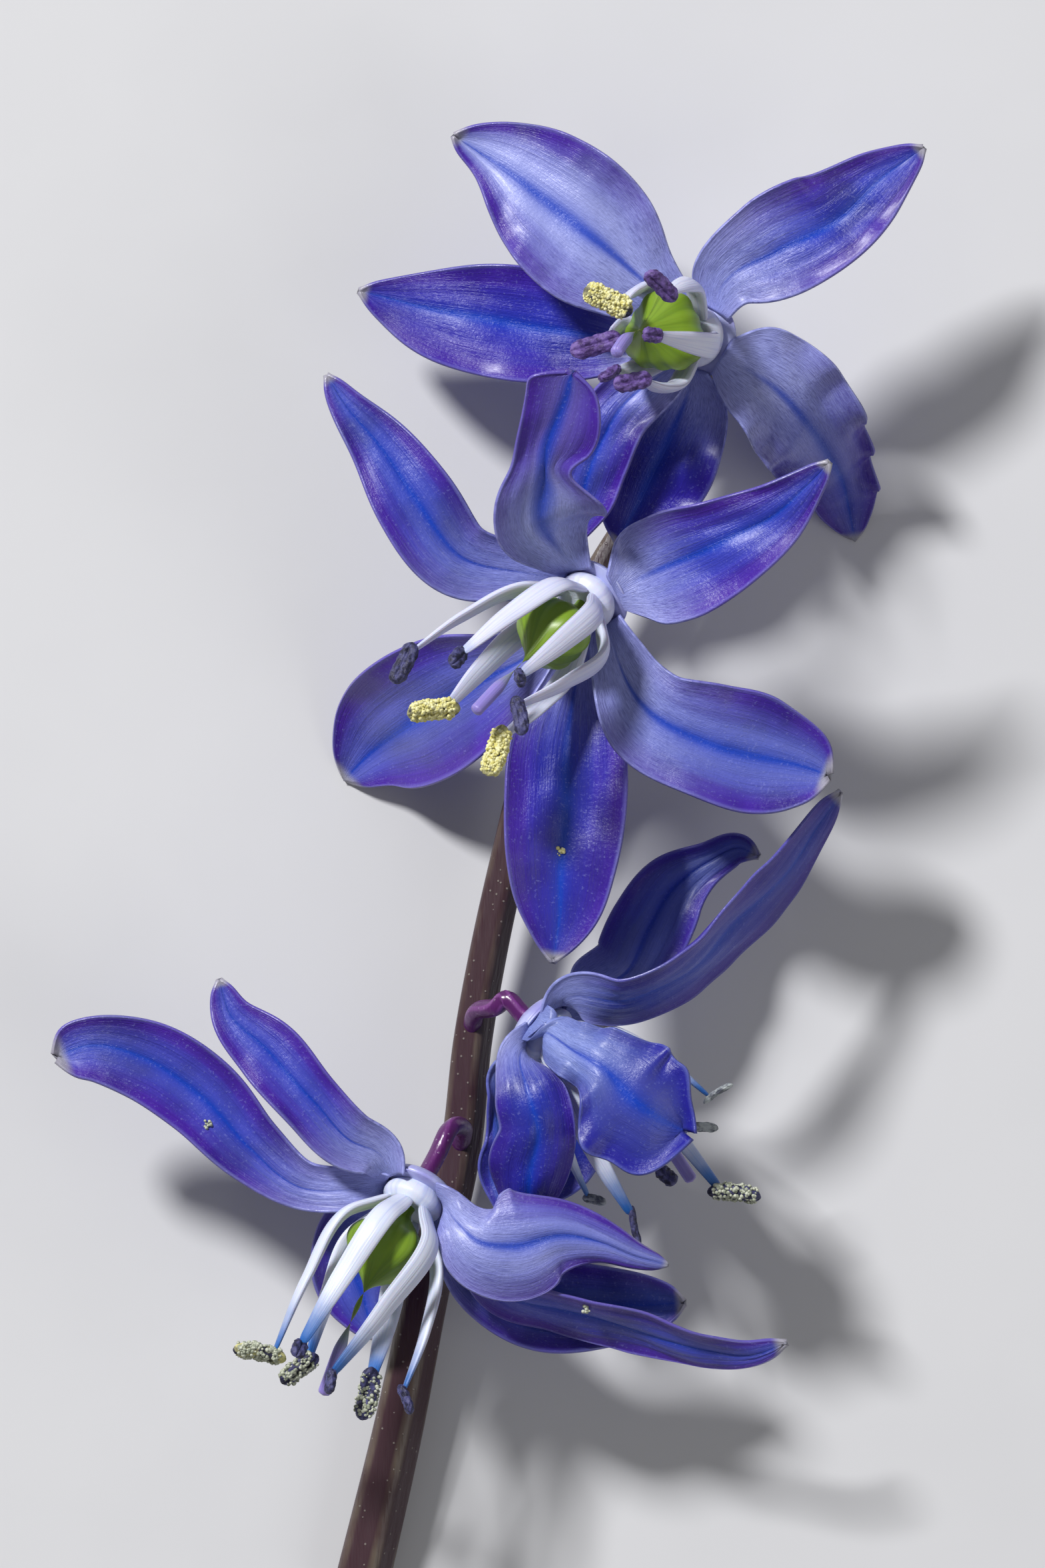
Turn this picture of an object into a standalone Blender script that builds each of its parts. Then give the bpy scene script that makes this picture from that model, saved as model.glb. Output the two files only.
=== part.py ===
# Siberian squill: one flowering stem with four open flowers, cut near the ground and laid down on its
# side. X runs across, Y runs along the stem towards the top flower and Z is up from the surface it lies on.
# Sizes are in millimetres and are turned into metres when a mesh is made.

import math

import bmesh
import bpy
import numpy as np

MM = 0.001
UP = np.array([0.0, 0.0, 1.0])
# Brings the middle of the whole plant over the origin
SHIFT = np.array([0.03, 0.2, 0.0])

# Tepals, the six petal-like leaves of each flower
BLADE_THICKNESS = 0.62
BLADE_STEPS = 11
BLADE_ACROSS = (-1.0, -0.55, 0.0, 0.55, 1.0)
CLAW_RADIUS = 1.5
CLAW_HALF_WIDTH = 0.95

# Receptacle, the swollen end of the flower stalk: pairs of radius and height along the flower's axis
RECEPTACLE_PROFILE = ((0.5, -1.0), (1.15, -0.78), (1.75, -0.4), (1.9, -0.05), (1.7, 0.2))
STALK_END = -1.5

# Stamens
RING_RADIUS = 0.97
RING_THICKNESS = 0.56
RING_HEIGHT = 0.82
FILAMENT_RADII = (0.3, 0.42, 0.46, 0.42, 0.31)
SHOULDER_HEIGHT = 2.55
ANTHER_RADIUS = 0.5
ANTHER_LENGTH = 2.7

# Pistil: the ovary's radius is scaled for each flower, the style is a thin tube
OVARY_PROFILE = ((0.55, 0.2), (1.35, 0.2), (1.9, 0.52), (2.6, 0.9), (3.3, 1.0), (4.0, 0.85), (4.6, 0.5))
OVARY_LOBE = 0.07
STYLE_RADIUS = 0.33

# The stem's middle line from the cut end to the top flower, with its radius
STEM = (
    (-6.1, -34.2, 1.2, 1.34),
    (-4.3, -26.6, 1.75, 1.22),
    (-2.9, -19.9, 2.4, 1.1),
    (-1.3, -13.1, 2.8, 1.0),
    (-0.8, -8.5, 3.0, 0.95),
    (0.0, -4.0, 3.2, 0.92),
    (1.0, 0.5, 3.4, 0.9),
    (2.5, 6.5, 3.7, 0.85),
    (4.4, 12.0, 3.8, 0.75),
    (6.7, 16.0, 3.6, 0.65),
    (9.0, 19.6, 3.7, 0.55),
    (10.8, 22.6, 5.0, 0.48),
)
STALK_RADIUS = 0.45

# Colours: base colour and roughness
VIOLET_BLUE = ((0.075, 0.06, 0.52), 0.45)
PALE_LILAC = ((0.72, 0.76, 0.9), 0.4)
GREEN = ((0.27, 0.45, 0.03), 0.4)
STEM_PURPLE = ((0.055, 0.02, 0.028), 0.5)

# Each tepal is a list of stations from the claw to the tip, measured from the flower's centre:
# place of the midrib in x, y and z, half width to the left and to the right, and roll in degrees, which
# lifts the left margin. "cup" lifts both margins and "wave" ripples them.
FLOWERS = (
    {
        "name": "flower1",
        "centre": (9.75, 24.15, 8.2),
        "faces": (-0.5, 0.05, 0.865),
        "ovary_radius": 1.75,
        "shoulder_radius": 2.3,
        "stalk": None,
        "tepals": (
            {"cup": 0.25, "wave": 0.15, "stations": (
                (-2.2, 2.3, 0.2, 1.9, 1.5, 0), (-4.6, 4.3, 0.8, 3.2, 3.1, 0), (-7.3, 6.4, 0.4, 2.7, 3.2, 0),
                (-9.7, 8.2, -0.4, 1.0, 2.0, 0), (-11.2, 9.2, -1.0, 0.4, 0.5, 0))},
            {"cup": 0.2, "wave": 0.08, "stations": (
                (-3.1, -0.1, -1.5, 1.4, 1.3, 0), (-6.5, 0.3, -2.0, 2.4, 2.6, 0), (-9.5, 0.8, -2.4, 2.6, 2.6, 0),
                (-12.9, 1.5, -3.1, 2.0, 1.6, 0), (-15.7, 2.2, -3.6, 0.35, 0.3, 0))},
            {"cup": 0.2, "wave": 0.1, "stations": (
                (1.2, 2.5, 0.9, 1.7, 1.4, 0), (3.5, 3.9, 1.2, 2.6, 2.2, 0), (6.2, 5.2, 1.2, 2.6, 1.9, 0),
                (8.3, 7.2, 1.0, 1.5, 1.5, 0), (10.3, 8.7, 0.8, 0.35, 0.35, 0))},
            {"cup": 0.1, "wave": 0.3, "stations": (
                (1.6, -1.2, 0.5, 1.8, 1.6, 0), (3.4, -2.3, 0.0, 2.6, 2.4, 0), (5.1, -4.1, -1.5, 2.5, 2.7, 0),
                (6.4, -6.0, -4.4, 1.8, 2.4, 0), (7.0, -7.7, -7.4, 1.2, 1.4, 0),
                (7.3, -9.3, -8.15, 0.45, 0.45, 0))},
            {"cup": 0.15, "wave": 0.1, "stations": (
                (-0.5, -2.4, -0.4, 1.7, 1.7, 0), (-1.4, -4.6, -1.4, 2.6, 2.6, 0), (-2.5, -6.9, -1.9, 2.5, 2.5, 0),
                (-3.2, -8.4, -2.1, 1.7, 1.7, 0), (-3.8, -9.5, -2.1, 0.4, 0.4, 0))},
            {"cup": 0.2, "wave": 0.1, "stations": (
                (-1.9, -1.8, 0.2, 1.3, 1.3, 0), (-3.8, -3.5, 0.2, 1.5, 1.5, 0), (-4.9, -5.7, 0.0, 1.6, 1.6, 0),
                (-5.6, -7.8, -0.5, 1.4, 1.4, 0), (-6.0, -9.6, -0.8, 0.35, 0.35, 0))},
        ),
        "stamens": (
            {"turn": 125, "end": (-3.7, 1.3, 5.6), "anther": (-1.0, 0.5, 0.2)},
            {"turn": 65, "end": (-1.5, 1.9, 7.6), "anther": (-0.6, 0.6, 0.5)},
            {"turn": 180, "end": (-4.2, -0.3, 5.2), "anther": (-1.0, -0.3, 0.1)},
            {"turn": 230, "end": (-4.0, -1.7, 5.2), "anther": (-0.4, -0.3, 1.0)},
            {"turn": 285, "end": (-2.7, -2.1, 6.4), "anther": (-1.0, -0.2, 0.3)},
            {"turn": 350, "end": (-2.0, -0.1, 7.9), "anther": (-0.8, 0.1, 0.6)},
        ),
        "style": (-3.9, -0.9, 7.9),
    },
    {
        "name": "flower2",
        "centre": (4.77, 12.2, 9.6),
        "faces": (-0.55, -0.53, 0.645),
        "ovary_radius": 1.75,
        "shoulder_radius": 2.4,
        "stalk": ((2.9, 7.6, 3.7), (4.6, 10.4, 4.6), (5.7, 12.6, 6.6)),
        "tepals": (
            {"cup": 0.25, "wave": 0.12, "stations": (
                (-3.3, 1.1, 0.1, 1.3, 1.2, 0), (-6.1, 1.8, 0.8, 1.9, 1.6, 0), (-8.0, 4.3, 1.1, 2.0, 1.8, 0),
                (-9.9, 7.0, 0.6, 1.3, 1.4, 0), (-11.5, 9.0, 0.1, 0.7, 0.7, 0), (-12.2, 10.1, -0.3, 0.3, 0.3, 0))},
            {"cup": 0.3, "wave": 0.1, "stations": (
                (-1.5, 2.2, 1.3, 1.3, 1.3, 0), (-2.0, 3.5, 3.5, 2.3, 2.2, 0), (-1.9, 5.4, 5.2, 2.2, 2.2, 0),
                (-1.5, 7.8, 6.4, 1.6, 1.8, 0), (-1.5, 9.5, 7.2, 1.4, 1.7, 0), (-1.5, 10.3, 7.5, 1.2, 1.3, 0))},
            {"cup": 0.2, "wave": 0.15, "stations": (
                (1.9, 0.6, 1.0, 1.9, 1.9, 0), (3.8, 1.5, 2.0, 2.4, 2.7, 0), (6.1, 2.5, 3.0, 2.0, 2.4, 0),
                (8.4, 3.7, 3.8, 1.5, 1.6, 0), (9.9, 5.0, 4.3, 0.9, 0.8, 0), (10.9, 6.1, 4.6, 0.3, 0.3, 0))},
            {"cup": 0.25, "wave": 0.15, "stations": (
                (1.1, -2.7, 0.2, 1.3, 1.2, 0), (2.7, -5.4, 0.6, 2.1, 2.4, 0), (5.3, -6.8, 0.5, 2.8, 2.5, 0),
                (7.9, -7.5, 0.2, 2.8, 2.6, 0), (9.8, -7.9, 0.0, 1.9, 1.9, 0), (10.9, -8.3, -0.3, 1.0, 1.0, 0))},
            {"cup": 0.2, "wave": 0.08, "stations": (
                (-0.6, -3.3, -1.1, 1.3, 1.2, 0), (-1.1, -6.6, -0.9, 2.6, 2.6, 0), (-1.2, -9.4, -0.6, 2.8, 2.8, 0),
                (-1.4, -12.5, -0.4, 2.5, 2.5, 0), (-1.5, -14.8, -0.6, 1.8, 1.8, 0),
                (-1.8, -16.9, -0.8, 0.35, 0.35, 0))},
            {"cup": 0.3, "wave": 0.12, "stations": (
                (-2.7, -2.6, -1.4, 1.4, 1.4, 0), (-5.6, -4.2, -3.4, 2.9, 2.9, 0), (-8.1, -5.7, -5.6, 3.0, 3.2, 0),
                (-10.2, -7.2, -8.6, 1.8, 2.2, 0), (-11.5, -8.5, -9.5, 0.7, 0.7, 0))},
        ),
        "stamens": (
            {"turn": 95, "end": (-8.4, -2.7, 3.9), "anther": (-0.5, -1.0, 0.2)},
            {"turn": 35, "end": (-6.0, -2.7, 5.7), "anther": (-0.4, -0.5, 0.9)},
            {"turn": 345, "end": (-3.3, -3.7, 7.2), "anther": (0.0, -0.4, 1.0)},
            {"turn": 290, "end": (-3.4, -5.1, 5.8), "anther": (0.2, -1.0, 0.2)},
            {"turn": 155, "end": (-6.7, -5.2, 3.0), "anther": (-1.0, -0.1, 0.2)},
            {"turn": 225, "end": (-4.2, -6.6, 3.9), "anther": (-0.3, -1.0, 0.2)},
        ),
        "style": (-5.4, -5.4, 5.7),
    },
    {
        "name": "flower3",
        "centre": (2.43, -7.85, 6.8),
        "faces": (0.75, -0.6, 0.28),
        "ovary_radius": 1.3,
        "shoulder_radius": 1.95,
        "stalk": ((-0.8, -8.1, 3.0), (-0.5, -7.0, 4.8), (0.5, -6.7, 6.0)),
        "tepals": (
            {"cup": 0.05, "wave": 0.1, "stations": (
                (1.4, 1.6, 1.9, 1.2, 1.2, 30), (3.9, 1.4, 2.4, 1.8, 1.8, 55), (6.5, 2.5, 2.4, 2.0, 2.0, 60),
                (8.9, 4.9, 1.7, 2.0, 2.0, 60), (11.2, 7.3, 1.0, 1.7, 1.7, 55), (12.7, 9.4, 0.4, 1.0, 1.0, 45),
                (13.8, 11.0, -0.2, 0.35, 0.35, 30))},
            {"cup": 0.3, "wave": 0.12, "stations": (
                (2.0, 1.6, -1.2, 1.4, 1.4, 0), (3.9, 2.6, -1.7, 1.8, 1.8, 0), (5.0, 4.6, -1.9, 1.9, 1.9, 0),
                (6.2, 6.6, -2.0, 1.6, 1.6, 0), (7.9, 7.8, -1.9, 0.9, 0.9, 0), (9.3, 8.4, -1.6, 0.7, 0.7, 0),
                (10.1, 8.0, -1.3, 0.35, 0.35, 0))},
            {"cup": -0.3, "wave": 0.25, "stations": (
                (1.0, -0.6, 3.4, 1.3, 1.3, 0), (2.9, -1.8, 4.8, 2.1, 1.7, 0), (4.2, -3.2, 5.0, 2.3, 3.0, 0),
                (5.3, -4.3, 4.7, 1.7, 2.4, 0), (6.6, -4.8, 4.1, 0.8, 0.8, 0))},
            {"cup": -0.3, "wave": 0.12, "stations": (
                (-1.0, -1.6, 2.9, 1.1, 1.1, 0), (-0.6, -2.8, 3.7, 1.7, 1.6, 0), (-0.2, -4.5, 3.8, 1.8, 1.7, 0),
                (-0.5, -6.6, 3.0, 1.8, 2.0, 0), (-0.7, -8.2, 1.7, 1.2, 1.2, 0), (-0.8, -9.3, 0.7, 0.4, 0.4, 0))},
            {"cup": 0.1, "wave": 0.1, "stations": (
                (-1.6, -1.8, -0.4, 1.1, 0.9, -30), (-1.8, -3.2, -0.8, 1.3, 0.9, -30), (-1.6, -4.8, -1.0, 1.5, 1.0, -20),
                (-1.6, -6.4, -1.1, 1.4, 1.3, 0), (-1.4, -7.9, -1.1, 0.9, 0.9, 0), (-1.3, -9.2, -1.1, 0.35, 0.35, 0))},
            {"cup": 0.3, "wave": 0.1, "stations": (
                (0.6, -1.3, -2.5, 1.3, 1.3, 0), (1.2, -2.7, -3.6, 1.8, 1.8, 0), (0.9, -4.7, -4.2, 2.2, 2.0, 0),
                (0.2, -6.5, -4.4, 1.9, 1.7, 0), (-0.8, -8.3, -4.4, 0.4, 0.4, 0))},
        ),
        "stamens": (
            {"turn": 270, "end": (7.8, -3.1, 1.5), "anther": (0.9, 0.6, 0.1)},
            {"turn": 215, "end": (6.9, -4.5, 0.2), "anther": (1.0, 0.0, -0.2)},
            {"turn": 325, "end": (8.3, -7.4, 2.4), "anther": (1.0, -0.1, 0.1)},
            {"turn": 35, "end": (4.2, -8.6, 1.2), "anther": (0.2, -1.0, 0.0)},
            {"turn": 95, "end": (2.2, -7.8, -0.6), "anther": (0.8, -0.2, 0.0)},
            {"turn": 155, "end": (5.6, -6.6, -1.3), "anther": (0.7, -0.6, 0.0)},
        ),
        "style": (7.0, -7.0, 0.9),
    },
    {
        "name": "flower4",
        "centre": (-3.32, -15.38, 8.2),
        "faces": (-0.43, -0.8, 0.42),
        "ovary_radius": 1.75,
        "shoulder_radius": 2.4,
        "stalk": ((-1.4, -13.6, 2.8), (-1.2, -12.4, 5.0), (-1.9, -12.6, 6.9)),
        "tepals": (
            {"cup": 0.25, "wave": 0.1, "stations": (
                (-2.6, 0.2, 0.0, 1.0, 1.0, 0), (-5.2, 0.2, -0.4, 1.0, 1.2, 0), (-7.7, 2.0, -0.7, 1.5, 1.6, 0),
                (-10.0, 4.5, -0.7, 1.9, 1.9, 0), (-12.6, 6.2, -0.6, 1.9, 1.8, 0), (-15.2, 6.8, -0.7, 1.6, 1.3, 0),
                (-16.6, 6.3, -1.1, 1.2, 1.2, 0))},
            {"cup": 0.25, "wave": 0.1, "stations": (
                (-1.7, 1.8, 1.0, 1.1, 1.1, 0), (-3.1, 2.5, 1.4, 1.4, 1.3, 0), (-4.8, 4.3, 1.5, 1.5, 1.3, 0),
                (-6.8, 6.5, 1.2, 1.5, 1.5, 0), (-8.6, 8.3, 0.7, 0.9, 0.9, 0), (-9.1, 9.8, 0.3, 0.35, 0.35, 0))},
            {"cup": 0.2, "wave": 0.1, "stations": (
                (-1.5, -0.7, -1.9, 1.3, 1.3, 0), (-2.6, -1.7, -2.9, 1.8, 1.8, 0), (-2.9, -3.3, -3.4, 2.0, 2.0, 0),
                (-2.5, -5.0, -3.6, 1.7, 1.7, 0), (-1.9, -6.8, -3.7, 0.45, 0.45, 0))},
            {"cup": -0.2, "wave": 0.15, "stations": (
                (1.8, -1.2, 2.2, 1.1, 1.1, 0), (2.9, -2.2, 2.8, 2.0, 2.2, 0), (4.5, -2.4, 2.8, 2.7, 2.6, 0),
                (6.6, -1.9, 2.6, 1.7, 1.9, 0), (8.6, -2.3, 2.2, 1.1, 0.9, 0), (10.2, -2.9, 1.8, 0.6, 0.6, 0),
                (11.6, -3.3, 1.4, 0.3, 0.3, 0))},
            {"cup": 0.2, "wave": 0.12, "stations": (
                (1.7, -2.0, -0.9, 1.2, 1.2, 0), (3.0, -3.9, -1.2, 1.7, 1.6, 0), (5.4, -5.1, -1.3, 2.1, 2.1, 0),
                (8.5, -5.3, -1.3, 1.9, 1.9, 0), (10.6, -5.2, -1.3, 1.4, 1.4, 0), (12.4, -5.1, -1.3, 0.6, 0.6, 0))},
            {"cup": 0.1, "wave": 0.08, "stations": (
                (2.4, -2.4, 0.3, 1.0, 1.0, 30), (4.0, -4.5, 0.6, 1.4, 1.4, 45), (6.6, -5.4, 0.7, 1.5, 1.5, 50),
                (10.3, -6.3, 0.6, 1.4, 1.4, 50), (13.4, -7.2, 0.4, 1.1, 1.1, 45), (15.4, -7.4, 0.3, 0.7, 0.7, 30),
                (17.1, -6.9, 0.4, 0.35, 0.35, 0))},
        ),
        "stamens": (
            {"turn": 80, "end": (-6.6, -7.4, 2.4), "anther": (-1.0, 0.2, 0.1)},
            {"turn": 20, "end": (-5.3, -6.9, 4.2), "anther": (-0.2, -0.5, 0.8)},
            {"turn": 140, "end": (-5.0, -7.7, 2.3), "anther": (-0.8, -0.6, 0.0)},
            {"turn": 320, "end": (-3.9, -8.3, 4.0), "anther": (-0.1, -1.0, 0.4)},
            {"turn": 200, "end": (-2.1, -8.6, 2.2), "anther": (-0.2, -1.0, 0.0)},
            {"turn": 260, "end": (-0.6, -9.1, 2.9), "anther": (0.4, -1.0, 0.2)},
        ),
        "style": (-4.3, -9.3, 1.9),
    },
)


def unit(vector):
    return vector / np.linalg.norm(vector)


# A smooth curve through rows of numbers, spaced by the distance between their first three
def smooth(rows, count):
    rows = np.asarray(rows, float)
    gaps = np.linalg.norm(np.diff(rows[:, :3], axis=0), axis=1)
    along = np.concatenate([[0.0], np.cumsum(gaps)])
    slopes = np.gradient(rows, along, axis=0)
    places = np.linspace(0.0, along[-1], count)
    left = np.clip(np.searchsorted(along, places, side="right") - 1, 0, len(rows) - 2)
    span = (along[left + 1] - along[left])[:, None]
    t = (places - along[left])[:, None] / span
    return (
        rows[left] * (2 * t**3 - 3 * t**2 + 1)
        + slopes[left] * span * (t**3 - 2 * t**2 + t)
        + rows[left + 1] * (3 * t**2 - 2 * t**3)
        + slopes[left + 1] * span * (t**3 - t**2)
    )


def make_material(name, look):
    colour, roughness = look
    material = bpy.data.materials.get(name)
    if material is None:
        material = bpy.data.materials.new(name)
        material.use_nodes = True
        shader = material.node_tree.nodes["Principled BSDF"]
        shader.inputs["Base Color"].default_value = (*colour, 1.0)
        shader.inputs["Roughness"].default_value = roughness
        shader.inputs["Metallic"].default_value = 0.0
    return material


def make_object(name, points, faces):
    mesh = bpy.data.meshes.new(name)
    mesh.from_pydata([tuple(point) for point in (np.asarray(points) + SHIFT) * MM], [], faces)
    piece = bpy.data.objects.new(name, mesh)
    bpy.context.scene.collection.objects.link(piece)
    return piece


# A closed tube along rows of x, y, z and radius, with lobes running along it where asked
def make_tube(name, rows, sides, lobe=0.0):
    rows = np.asarray(rows, float)
    middle = rows[:, :3]
    along = np.gradient(middle, axis=0)
    side = unit(np.cross(along[0], UP + 0.01))
    turns = np.arange(sides) * 2 * math.pi / sides
    points = []
    for centre, radius, heading in zip(middle, rows[:, 3], along):
        heading = unit(heading)
        side = unit(side - heading * side.dot(heading))
        across = np.cross(heading, side)
        reach = radius * (1 + lobe * np.cos(3 * turns))
        ring = centre + (reach * np.cos(turns))[:, None] * side + (reach * np.sin(turns))[:, None] * across
        points.extend(ring)
    faces = [tuple(reversed(range(sides)))]
    for level in range(len(rows) - 1):
        for spoke in range(sides):
            after = (spoke + 1) % sides
            low, high = level * sides, (level + 1) * sides
            faces.append((low + spoke, low + after, high + after, high + spoke))
    last = (len(rows) - 1) * sides
    faces.append(tuple(last + spoke for spoke in range(sides)))
    return make_object(name, points, faces)


def make_ring(name, centre, axis, radius, thickness, around=14, sides=6):
    side = unit(np.cross(axis, UP))
    across = np.cross(axis, side)
    points = []
    for step in range(around):
        turn = step * 2 * math.pi / around
        outward = side * math.cos(turn) + across * math.sin(turn)
        for spoke in range(sides):
            lean = spoke * 2 * math.pi / sides
            reach = radius + thickness / 2 * math.cos(lean)
            points.append(centre + outward * reach + axis * thickness / 2 * math.sin(lean))
    faces = []
    for step in range(around):
        here, there = step * sides, (step + 1) % around * sides
        for spoke in range(sides):
            after = (spoke + 1) % sides
            faces.append((here + spoke, there + spoke, there + after, here + after))
    return make_object(name, points, faces)


# Station rows gain the sideways direction of the blade, then the whole list is smoothed
def blade_rows(tepal, centre, axis):
    stations = np.asarray(tepal["stations"], float)
    first = stations[0, :3] - axis * axis.dot(stations[0, :3])
    outward = unit(first)
    claw = np.array([*(outward * CLAW_RADIUS), CLAW_HALF_WIDTH, CLAW_HALF_WIDTH, 0.0])
    stations = np.vstack([claw, stations])
    heading = np.gradient(stations[:, :3], axis=0)
    sideways = [np.cross(axis, outward)]
    for tangent, roll in zip(heading[1:], np.radians(stations[1:, 5])):
        tangent = unit(tangent)
        left = unit(np.cross(UP, tangent))
        sideways.append(left * math.cos(roll) + np.cross(tangent, left) * math.sin(roll))
    rows = np.hstack([stations[:, :3] + centre, stations[:, 3:5], np.asarray(sideways)])
    return smooth(rows, BLADE_STEPS)


# The blade's middle surface: each row runs from the right margin to the left one
def blade_surface(tepal, centre, axis):
    rows = blade_rows(tepal, centre, axis)
    heading = np.gradient(rows[:, :3], axis=0)
    surface = []
    for step, (row, tangent) in enumerate(zip(rows, heading)):
        share = step / (len(rows) - 1)
        tangent = unit(tangent)
        sideways = unit(row[5:8] - tangent * tangent.dot(row[5:8]))
        face = np.cross(tangent, sideways)
        for place in BLADE_ACROSS:
            width = row[3] if place > 0 else row[4]
            ripple = math.sin(2 * math.pi * (2.5 * share + 0.2 * place))
            lift = place**2 * (tepal["cup"] * width + tepal["wave"] * ripple * math.sin(math.pi * share))
            surface.append(row[:3] + sideways * place * width + face * lift)
    return np.asarray(surface).reshape(len(rows), len(BLADE_ACROSS), 3)


# Both faces of a blade carry the same triangles, joined by a rim
def make_blade(name, surface):
    long, wide = surface.shape[:2]
    normal = np.cross(np.gradient(surface, axis=0), np.gradient(surface, axis=1))
    normal /= np.linalg.norm(normal, axis=2)[:, :, None]
    half = normal * BLADE_THICKNESS / 2
    points = np.concatenate([(surface + half).reshape(-1, 3), (surface - half).reshape(-1, 3)])
    under = long * wide
    faces = []
    for i in range(long - 1):
        for j in range(wide - 1):
            a, b, c, d = i * wide + j, (i + 1) * wide + j, (i + 1) * wide + j + 1, i * wide + j + 1
            for triangle in ((a, b, c), (a, c, d)):
                faces.append(triangle)
                faces.append(tuple(under + corner for corner in reversed(triangle)))
    edge = [j for j in range(wide)]
    edge += [i * wide + wide - 1 for i in range(1, long)]
    edge += [(long - 1) * wide + j for j in range(wide - 2, -1, -1)]
    edge += [i * wide for i in range(long - 2, 0, -1)]
    for here, there in zip(edge, edge[1:] + edge[:1]):
        faces.append((here, there, under + there))
        faces.append((here, under + there, under + here))
    return make_object(name, points, faces)


# Joins the pieces into one body with a Boolean union and removes the loose ones
def fuse(name, pieces, material):
    body, others = pieces[0], pieces[1:]
    group = bpy.data.collections.new(name + "_pieces")
    for other in others:
        group.objects.link(other)
    union = body.modifiers.new("union", "BOOLEAN")
    union.operation = "UNION"
    union.operand_type = "COLLECTION"
    union.collection = group
    union.solver = "MANIFOLD"
    apply_modifiers(body)
    for other in others:
        bpy.data.objects.remove(other)
    bpy.data.collections.remove(group)
    drop_scraps(body)
    return finish(body, name, material)


# A union of thin blades can leave crumbs: only the largest connected body stays
def drop_scraps(body):
    shape = bmesh.new()
    shape.from_mesh(body.data)
    unseen = set(shape.verts)
    bodies = []
    while unseen:
        found = {unseen.pop()}
        front = list(found)
        while front:
            corner = front.pop()
            near = {edge.other_vert(corner) for edge in corner.link_edges} & unseen
            unseen -= near
            found |= near
            front.extend(near)
        bodies.append(found)
    largest = max(bodies, key=len)
    scraps = [corner for corner in shape.verts if corner not in largest]
    bmesh.ops.delete(shape, geom=scraps, context="VERTS")
    shape.to_mesh(body.data)
    shape.free()


def apply_modifiers(body):
    shape = body.evaluated_get(bpy.context.evaluated_depsgraph_get())
    mesh = bpy.data.meshes.new_from_object(shape)
    body.modifiers.clear()
    body.data = mesh


def finish(body, name, material):
    body.name = name
    body.data.name = name
    body.data.materials.clear()
    body.data.materials.append(material)
    body.data.shade_smooth()
    return body


# Trims away what would reach below the surface that the flower lies on, which leaves a small flat spot
def cut_at_floor(body):
    reach, depth = 60.0, 5.0
    square = ((-reach, -reach), (reach, -reach), (reach, reach), (-reach, reach))
    corners = [(x, y, z) for z in (-depth, 0.0) for x, y in square]
    faces = [(3, 2, 1, 0), (4, 5, 6, 7), (0, 1, 5, 4), (1, 2, 6, 5), (2, 3, 7, 6), (3, 0, 4, 7)]
    slab = make_object("floor_cutter", corners, faces)
    cut = body.modifiers.new("cut", "BOOLEAN")
    cut.operation = "DIFFERENCE"
    cut.object = slab
    cut.solver = "EXACT"
    apply_modifiers(body)
    bpy.data.objects.remove(slab)


def make_perianth(flower, centre, axis):
    name = flower["name"] + "_tepals"
    rows = [(*(centre + axis * height), radius) for radius, height in RECEPTACLE_PROFILE]
    pieces = [make_tube("receptacle", rows, 12)]
    for number, tepal in enumerate(flower["tepals"]):
        pieces.append(make_blade(f"blade_{number}", blade_surface(tepal, centre, axis)))
    body = fuse(name, pieces, make_material("tepal_blue", VIOLET_BLUE))
    cut_at_floor(body)
    return body


# The direction square to the flower's axis at a given turn, counted from the side nearest to the eye
def spoke_direction(axis, degrees):
    top = unit(UP - axis * axis.dot(UP))
    beside = np.cross(axis, top)
    turn = math.radians(degrees)
    return top * math.cos(turn) + beside * math.sin(turn)


def make_stamens(flower, centre, axis):
    name = flower["name"] + "_stamens"
    pieces = [make_ring("collar", centre + axis * RING_HEIGHT, axis, RING_RADIUS, RING_THICKNESS)]
    for number, stamen in enumerate(flower["stamens"]):
        outward = spoke_direction(axis, stamen["turn"])
        start = centre + axis * RING_HEIGHT + outward * RING_RADIUS
        shoulder = centre + axis * SHOULDER_HEIGHT + outward * flower["shoulder_radius"]
        end = centre + np.asarray(stamen["end"])
        middle = (shoulder + end) / 2 + outward * 0.3
        path = np.asarray([start, (start + shoulder) / 2, shoulder, middle, end])
        rows = smooth(np.hstack([path, np.asarray(FILAMENT_RADII)[:, None]]), 8)
        pieces.append(make_tube(f"filament_{number}", rows, 6))
        pieces.append(make_anther(f"anther_{number}", end, unit(np.asarray(stamen["anther"]))))
    return fuse(name, pieces, make_material("stamen_white", PALE_LILAC))


def make_anther(name, end, heading):
    shares = np.array([-0.25, -0.1, 0.35, 0.65, 0.75])
    radii = np.array([0.3, 0.85, 1.0, 0.75, 0.3]) * ANTHER_RADIUS
    rows = [(*(end + heading * ANTHER_LENGTH * share), radius) for share, radius in zip(shares, radii)]
    return make_tube(name, rows, 6)


def make_pistil(flower, centre, axis):
    name = flower["name"] + "_pistil"
    radius = flower["ovary_radius"]
    rows = [(*(centre + axis * height), radius * share) for height, share in OVARY_PROFILE]
    apex = centre + axis * OVARY_PROFILE[-1][0]
    end = centre + np.asarray(flower["style"])
    bend = apex + axis * 0.35 * np.linalg.norm(end - apex)
    rows += [(*(apex + axis * 0.6), STYLE_RADIUS), (*((bend + end) / 2), STYLE_RADIUS), (*end, STYLE_RADIUS)]
    body = make_tube(name, smooth(rows, 15), 12, OVARY_LOBE)
    return finish(body, name, make_material("ovary_green", GREEN))


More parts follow.
